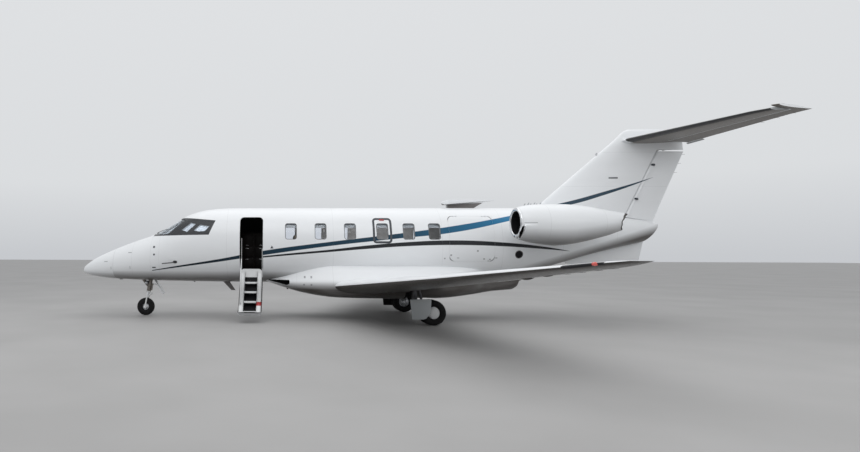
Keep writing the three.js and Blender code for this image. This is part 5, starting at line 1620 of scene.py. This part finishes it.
def make_main_gear():
    station, radius, half = MAIN_WHEEL
    hub_x, hub_z = at(station), radius
    tyres = [tyre(radius, half, 0.165).shifted(hub_x, -y, hub_z) for y in MAIN_Y]
    rims = [rim(0.165, half, 0.036, 0.30, 10).shifted(hub_x, -y, hub_z) for y in MAIN_Y]
    cap = lathe([(0, 0.150), (-0.008, 0.150), (-0.014, 0.140), (-0.020, 0.06), (-0.024, 0.0)], 48, "y")
    axle = rounded_bar((hub_x, -MAIN_Y[0] + half * 0.6, hub_z), (hub_x, -MAIN_Y[1] - half * 0.6, hub_z), 0.038, 28)
    pair("main_tyres_{}", gathered(*tyres), "rubber", "main_wheels_{}", "main_wheels_{}")
    pair("main_rims_{}", gathered(*rims, axle), "alloy", "main_wheels_{}")
    pair("main_hub_covers_{}", cap.shifted(hub_x + 0.03, -MAIN_Y[1] - half * 0.42, hub_z), "stairs", "main_wheels_{}")
    middle, x, low = -sum(MAIN_Y) / 2, at(MAIN_LEG), MAIN_KNEE_Z
    bearing = [(-0.038, 0.039), (-0.038, 0.058), (-0.034, 0.062), (0.034, 0.062), (0.038, 0.058), (0.038, 0.039)]
    leg = gathered(
        bars(((x, middle, 1.0), (x, middle, low), 0.064, 32, 0.1), ((x, middle, 0.72), (x, middle, 0.66), 0.072, 32),
             ((x, middle - 0.04, low), (x, middle + 0.04, low), 0.066, 28),
             ((x, middle - 0.055, low), (x, middle + 0.055, low), 0.030, 20)),
        tube([(x, middle, low), (hub_x - 0.052, middle, hub_z + 0.014)], [0.042, 0.034], 24),
        lathe(bearing, 40, "y", closed=True).shifted(hub_x, middle, hub_z),
        bars(((at(9.04), middle, 0.96), (at(9.12), middle, 0.64), 0.036, 24, 0.1),
             ((at(9.115), middle, 0.66), (at(9.185), middle, 0.38), 0.022, 20, 0.1),
             ((x, middle, 0.56), (x, -1.9476, 0.56), 0.014, 14), ((x, middle, 0.44), (x, -1.9476, 0.44), 0.014, 14),
             ((x, middle, 0.64), (x, -1.27, 0.90), 0.030, 20, 0.1),
             ((x, middle + 0.07, 0.60), (x, -1.36, 0.82), 0.040, 20)))
    # The main legs take the dark gear metal: painted shade.
    pair("main_leg_{}_body", leg, "gear", replaces="main_leg_{}")
    hoses = Shape()
    for lean in (0.0, 0.022):
        path = [(x - 0.075 - lean, 0.02, 0.86), (x - 0.085 - lean, 0.03, 0.6), (x - 0.05 - lean, 0.05, 0.38 - lean),
                (at(9.15), 0.055, 0.30 + lean), (hub_x - 0.06, 0.045, 0.32 + lean)]
        hoses.add(tube(smooth_path([(a, middle + b, c) for a, b, c in path], 6), 0.007, 10))
    pair("brake_lines_{}", hoses, "dark")
    outline = [(8.78, 0.64), (8.83, 0.16), (9.09, 0.16), (9.16, 0.185), (9.27, 0.31), (9.29, 0.655)]
    panel = plate(outline, -1.968, -1.948, 0.005).renumbered(1, lambda face, _: min(p[1] for p in face) > -1.9605)
    for z in (0.30, 0.60):
        rib = [(8.84, z), (9.20, z), (9.20, z + 0.02), (8.84, z + 0.02)]
        panel.add(plate(rib, -1.951, -1.938, 0.003).numbered(1))
    pair("main_gear_door_{}_panel", panel, "grey dark", replaces="main_gear_door_{}")


# ---- Airstair door, built closed and then swung open about its lower edge

STAIR_EDGES = (at(DOOR[0]), at(DOOR[1]))
TREADS, TREAD_TOP, TREAD_RISE = 4, 1.235, 0.235
STAIR_LENGTH = 1.42


def swung(shape):
    return shape.turned(STAIR_ANGLE, (1, 0, 0), (0, *STAIR_HINGE))


def frame_part(x, heights, half, bevel, proud=0.0, segments=2):
    """A stretch of a side frame of the closed stair, at an x and through these heights."""
    outline = [(-skin_side(x + LENGTH / 2, z, WALL - 0.005), z) for z in heights]
    inner = [(min(y + 0.105, -0.70) + proud, z) for y, z in outline]
    return prism([*outline, *reversed(inner)], "yz", x - half, x + half, bevel, segments=segments)


def make_airstair():
    sill, top = DOOR[2:4]
    left, right = STAIR_EDGES
    leaf = kept(shell(4.4, 5.3), door_prism(DOOR, DOOR_GAP))
    # The leaf's inner faces take the dark material as painted shade, except the lowest, which take the stairs' paint.
    leaf.renumbered(3, lambda face, number: number == 1 and sum(p[2] for p in face) / len(face) < 1.47)
    heights = [sill + 0.055 + (top - sill - 0.125) * k / 14 for k in range(15)]
    sides = gathered(*(frame_part(x, heights, 0.062, 0.010, segments=3) for x in (left + 0.085, right - 0.085)))
    barrels = hinge_barrels(DOOR, STAIR_HINGE, 0.210)
    piece("airstair_frame", gathered(swung(sides), barrels), "stairs", "airstair_door", "white_paint")
    piece("airstair_leaf", swung(leaf), "door_skin dark jamb stairs", "airstair_door", replaces="airstair_door")
    slope = math.tan(math.radians(STAIR_ANGLE - 90))
    treads, grips = Shape(), Shape()
    x0, x1 = left + 0.145, right - 0.145
    for step in range(1, TREADS + 1):
        z = TREAD_TOP - step * TREAD_RISE
        y = STAIR_HINGE[0] - (STAIR_HINGE[1] - z) / slope
        treads.add(blocks(((x0, x1), (y - 0.055, y + 0.15), (z - 0.024, z), 0.007, 3),
                          ((x0, x1), (y - 0.062, y - 0.045), (z - 0.05, z - 0.004), 0.005)))
        grips.add(block((x0 + 0.02, x1 - 0.02), (y - 0.040, y + 0.135), (z - 0.001, z + 0.003), 0.001, 1))
    y = STAIR_HINGE[0]
    treads.add(block((left + 0.08, right - 0.08), (y - 0.085, y - 0.012), (1.205, 1.262), 0.012, 3))
    piece("airstair_treads", treads, "stairs", "airstair_door")
    piece("airstair_grips", grips, "grip", "airstair_door")
    lean = math.radians(STAIR_ANGLE)
    y = STAIR_HINGE[0] - STAIR_LENGTH * math.sin(lean) + 0.02
    z = STAIR_HINGE[1] + STAIR_LENGTH * math.cos(lean) + 0.05
    feet = blocks(*(((x - 0.075, x + 0.075), (y - 0.03, y + 0.03), (z - 0.02, z + 0.03), 0.012, 3)
                    for x in (left + 0.10, right - 0.10)))
    piece("airstair_feet", feet, "stairs", "airstair_door", "polished_metal")
    rail = [(-1.48, 0.46), (-1.515, 0.85), (-1.52, 1.11), (-1.46, 1.22), (-1.21, 1.60)]
    rail = tube(smooth_path([(left + 0.07, y, z) for y, z in rail], 6), 0.012, 16)
    piece("airstair_handrail", rail, "stairs", "airstair_door")
    rails = Shape()
    for x, head in ((left + 0.028, 2.16), (right - 0.028, 1.88)):
        path = [(-0.56, head), (-0.60, head - 0.08), (-0.60, 1.60), (-0.585, 1.275)]
        rails.add(tube(smooth_path([(x, y, z) for y, z in path]), 0.011, 16))
    piece("doorway_handrails", rails, "stairs")
    strap = frame_part(right - 0.085, (2.27, 2.42), 0.066, 0.003, 0.004)
    piece("airstair_strap", swung(strap), "red", "airstair_door")


# ---- Interior

FLOOR_TOP = DOOR[2] - 0.005
CREW_STATION, CREW_Y = 3.42, 0.38
SEATS = [  # node, station of the middle, y, facing
    ("pilot_seat_left", CREW_STATION, -CREW_Y, 1), ("pilot_seat_right", CREW_STATION, CREW_Y, 1),
    ("cabin_seat_1_left", 6.25, -0.43, -1), ("cabin_seat_1_right", 6.25, 0.43, -1),
    ("cabin_seat_2_left", 7.80, -0.43, 1), ("cabin_seat_2_right", 7.80, 0.43, 1),
]
SEAT_CUSHIONS = {  # limits of x, y and z, puff and waist, of a seat that faces forward, about its own middle
    "base": ((-0.255, 0.16), (-0.222, 0.222), (0.30, 0.43)),
    "back": ((0.165, 0.285), (-0.222, 0.222), (0.36, 0.825)),
    "head": ((0.192, 0.278), (-0.138, 0.138), (0.835, 0.998), 0.015),
    "arm_left": ((-0.175, 0.175), (-0.268, -0.228), (0.515, 0.558), 0.006, 0.004),
    "arm_right": ((-0.175, 0.175), (0.228, 0.268), (0.515, 0.558), 0.006, 0.004),
}
SEAT_BLOCKS = [  # limits of x, y and z, bevel
    ((-0.15, 0.15), (-0.11, 0.11), (0.0, 0.03), 0.008), ((-0.10, 0.12), (-0.08, 0.08), (0.025, 0.255), 0.02),
    ((-0.24, 0.225), (-0.215, 0.215), (0.245, 0.305), 0.018), ((0.19, 0.27), (-0.205, 0.205), (0.28, 0.40), 0.02),
    ((-0.165, 0.165), (-0.262, -0.232), (0.305, 0.52), 0.010), ((-0.165, 0.165), (0.232, 0.262), (0.305, 0.52), 0.010),
]
CABINET_DOORS = [(4.44, 4.85), (4.87, 5.28)]  # stations
CABINET_LEVELS = [(1.33, 1.62), (1.64, 1.93), (1.95, 2.30)]
PUFFED_TO = 6  # the power that rounds a cushion's corners


def cushion(x, y, z, puff=0.02, waist=0.010, steps=7):
    """A crowned pad between limits: its faces swell and its sides pull in between the corners."""
    sizes, centre = ([(b + sign * a) / 2 for a, b in (x, y, z)] for sign in (-1, 1))
    thin = sizes.index(min(sizes))
    wide = [k for k in range(3) if k != thin]
    made = Shape()
    grid = [-1 + 2 * i / steps for i in range(steps + 1)]
    n = steps + 1
    corners = [i * n + j for i in range(steps) for j in range(steps)]
    faces = [(c, c + 1, c + n + 1, c + n) for c in corners]
    for axis in range(3):
        for sign in (-1, 1):
            points = [np.roll((sign, u, v), axis) for u in grid for v in grid]
            made.add(Shape(points, faces if sign > 0 else [f[::-1] for f in faces]))
    shaped = []
    for p in made.points:
        length = sum(abs(v) ** PUFFED_TO for v in p) ** (1 / PUFFED_TO)
        q = [v / length for v in p]
        fall = {k: 1 - q[k] ** 2 for k in wide}
        inward = {wide[0]: waist * fall[wide[1]], wide[1]: waist * fall[wide[0]],
                  thin: puff * (1 - fall[wide[0]] * fall[wide[1]])}
        shaped.append(tuple(centre[k] + q[k] * (sizes[k] - inward[k]) for k in range(3)))
    made.points = shaped
    return made


def make_seats():
    for name, station, y, facing in SEATS:
        crew = name.startswith("pilot")
        move = Matrix.Translation((at(station), y, FLOOR_TOP + 0.0004))
        if facing < 0:
            move = move @ Matrix.Rotation(math.pi, 4, "Z")
        for part, limits in SEAT_CUSHIONS.items():
            pad = cushion(*limits).moved(move)
            replaces = name if part == "base" else ""
            obj = piece(name + "_" + part, pad, "crew_leather" if crew else "leather", replaces=replaces)
            smooth = obj.modifiers.new("smooth", "SUBSURF")
            smooth.levels = smooth.render_levels = 1
        posts = bars(*(((0.235, y, 0.80), (0.235, y, 0.86), 0.008, 12) for y in (-0.06, 0.06)))
        hard = gathered(blocks(*SEAT_BLOCKS), posts).moved(move)
        piece(name + "_shell", hard, "dark" if crew else "grey", slot="trim_dark")


def make_interior():
    inside = hull(NOSE_END + 0.041, CABIN_END - 0.041, WALL + 0.0004)
    floor = block((at(NOSE_END), at(CABIN_END)), (-0.9, 0.9), (FLOOR_TOP - 0.07, FLOOR_TOP), 0)
    piece("cabin_carpet", kept(floor, inside), "carpet", replaces="cabin_floor")
    cabinet = kept(block((at(4.42), at(5.30)), (0.33, 0.95), (FLOOR_TOP + 0.0004, 2.35), 0), inside)
    fronts, handles = [], []
    for x0, x1 in ((at(a), at(b)) for a, b in CABINET_DOORS):
        fronts += [((x0, x1), (0.324, 0.335), level, 0.004) for level in CABINET_LEVELS]
        x = (x0 + x1) / 2
        handles += [((x - 0.06, 0.312, z), (x + 0.06, 0.312, z), 0.006, 12) for z in (1.59, 1.90, 1.99)]
    # The galley's body and fronts are near black: painted shade inside the doorway.
    piece("galley_body", bevelled(cabinet, 0.006), "wood", replaces="galley_cabinet")
    piece("galley_fronts", blocks(*fronts), "wood")
    piece("galley_handles", bars(*handles), "chrome")
    board = plate([(2.64, 2.29), (2.90, 2.29), (2.93, 2.23), (2.83, 2.19), (2.80, 1.70), (2.64, 1.70)], -0.9, 0.9)
    piece("instrument_board", kept(board, inside), "dark", replaces="instrument_panel")
    places = (-0.55, -0.19, 0.19, 0.55)
    bezels = blocks(*(((at(2.80), at(2.832)), (y - 0.165, y + 0.165), (1.93, 2.16), 0.006) for y in places))
    screens = blocks(*(((at(2.83), at(2.836)), (y - 0.145, y + 0.145), (1.95, 2.14), 0.002, 1) for y in places))
    piece("display_bezels", bezels, "frame")
    piece("display_screens", screens, "screen")
    yokes = Shape()
    for y in (-CREW_Y, CREW_Y):
        horn = [(at(3.02), y + a, z) for a, z in ((-0.16, 1.90), (-0.15, 1.80), (0, 1.78), (0.15, 1.80), (0.16, 1.90))]
        yokes.add(rounded_bar((at(2.83), y, 1.80), (at(3.02), y, 1.80), 0.016), tube(smooth_path(horn, 5), 0.014, 14))
    piece("control_yokes", yokes, "dark")


def main():
    make_materials()
    make_camera()
    make_stage()
    for make in (make_nose, make_cockpit, make_cabin, make_tail, make_fairing, make_wings, make_tailplane, make_fin,
                 make_nacelles, make_roof, make_nose_gear, make_main_gear, make_airstair, make_seats, make_interior):
        make()


main()
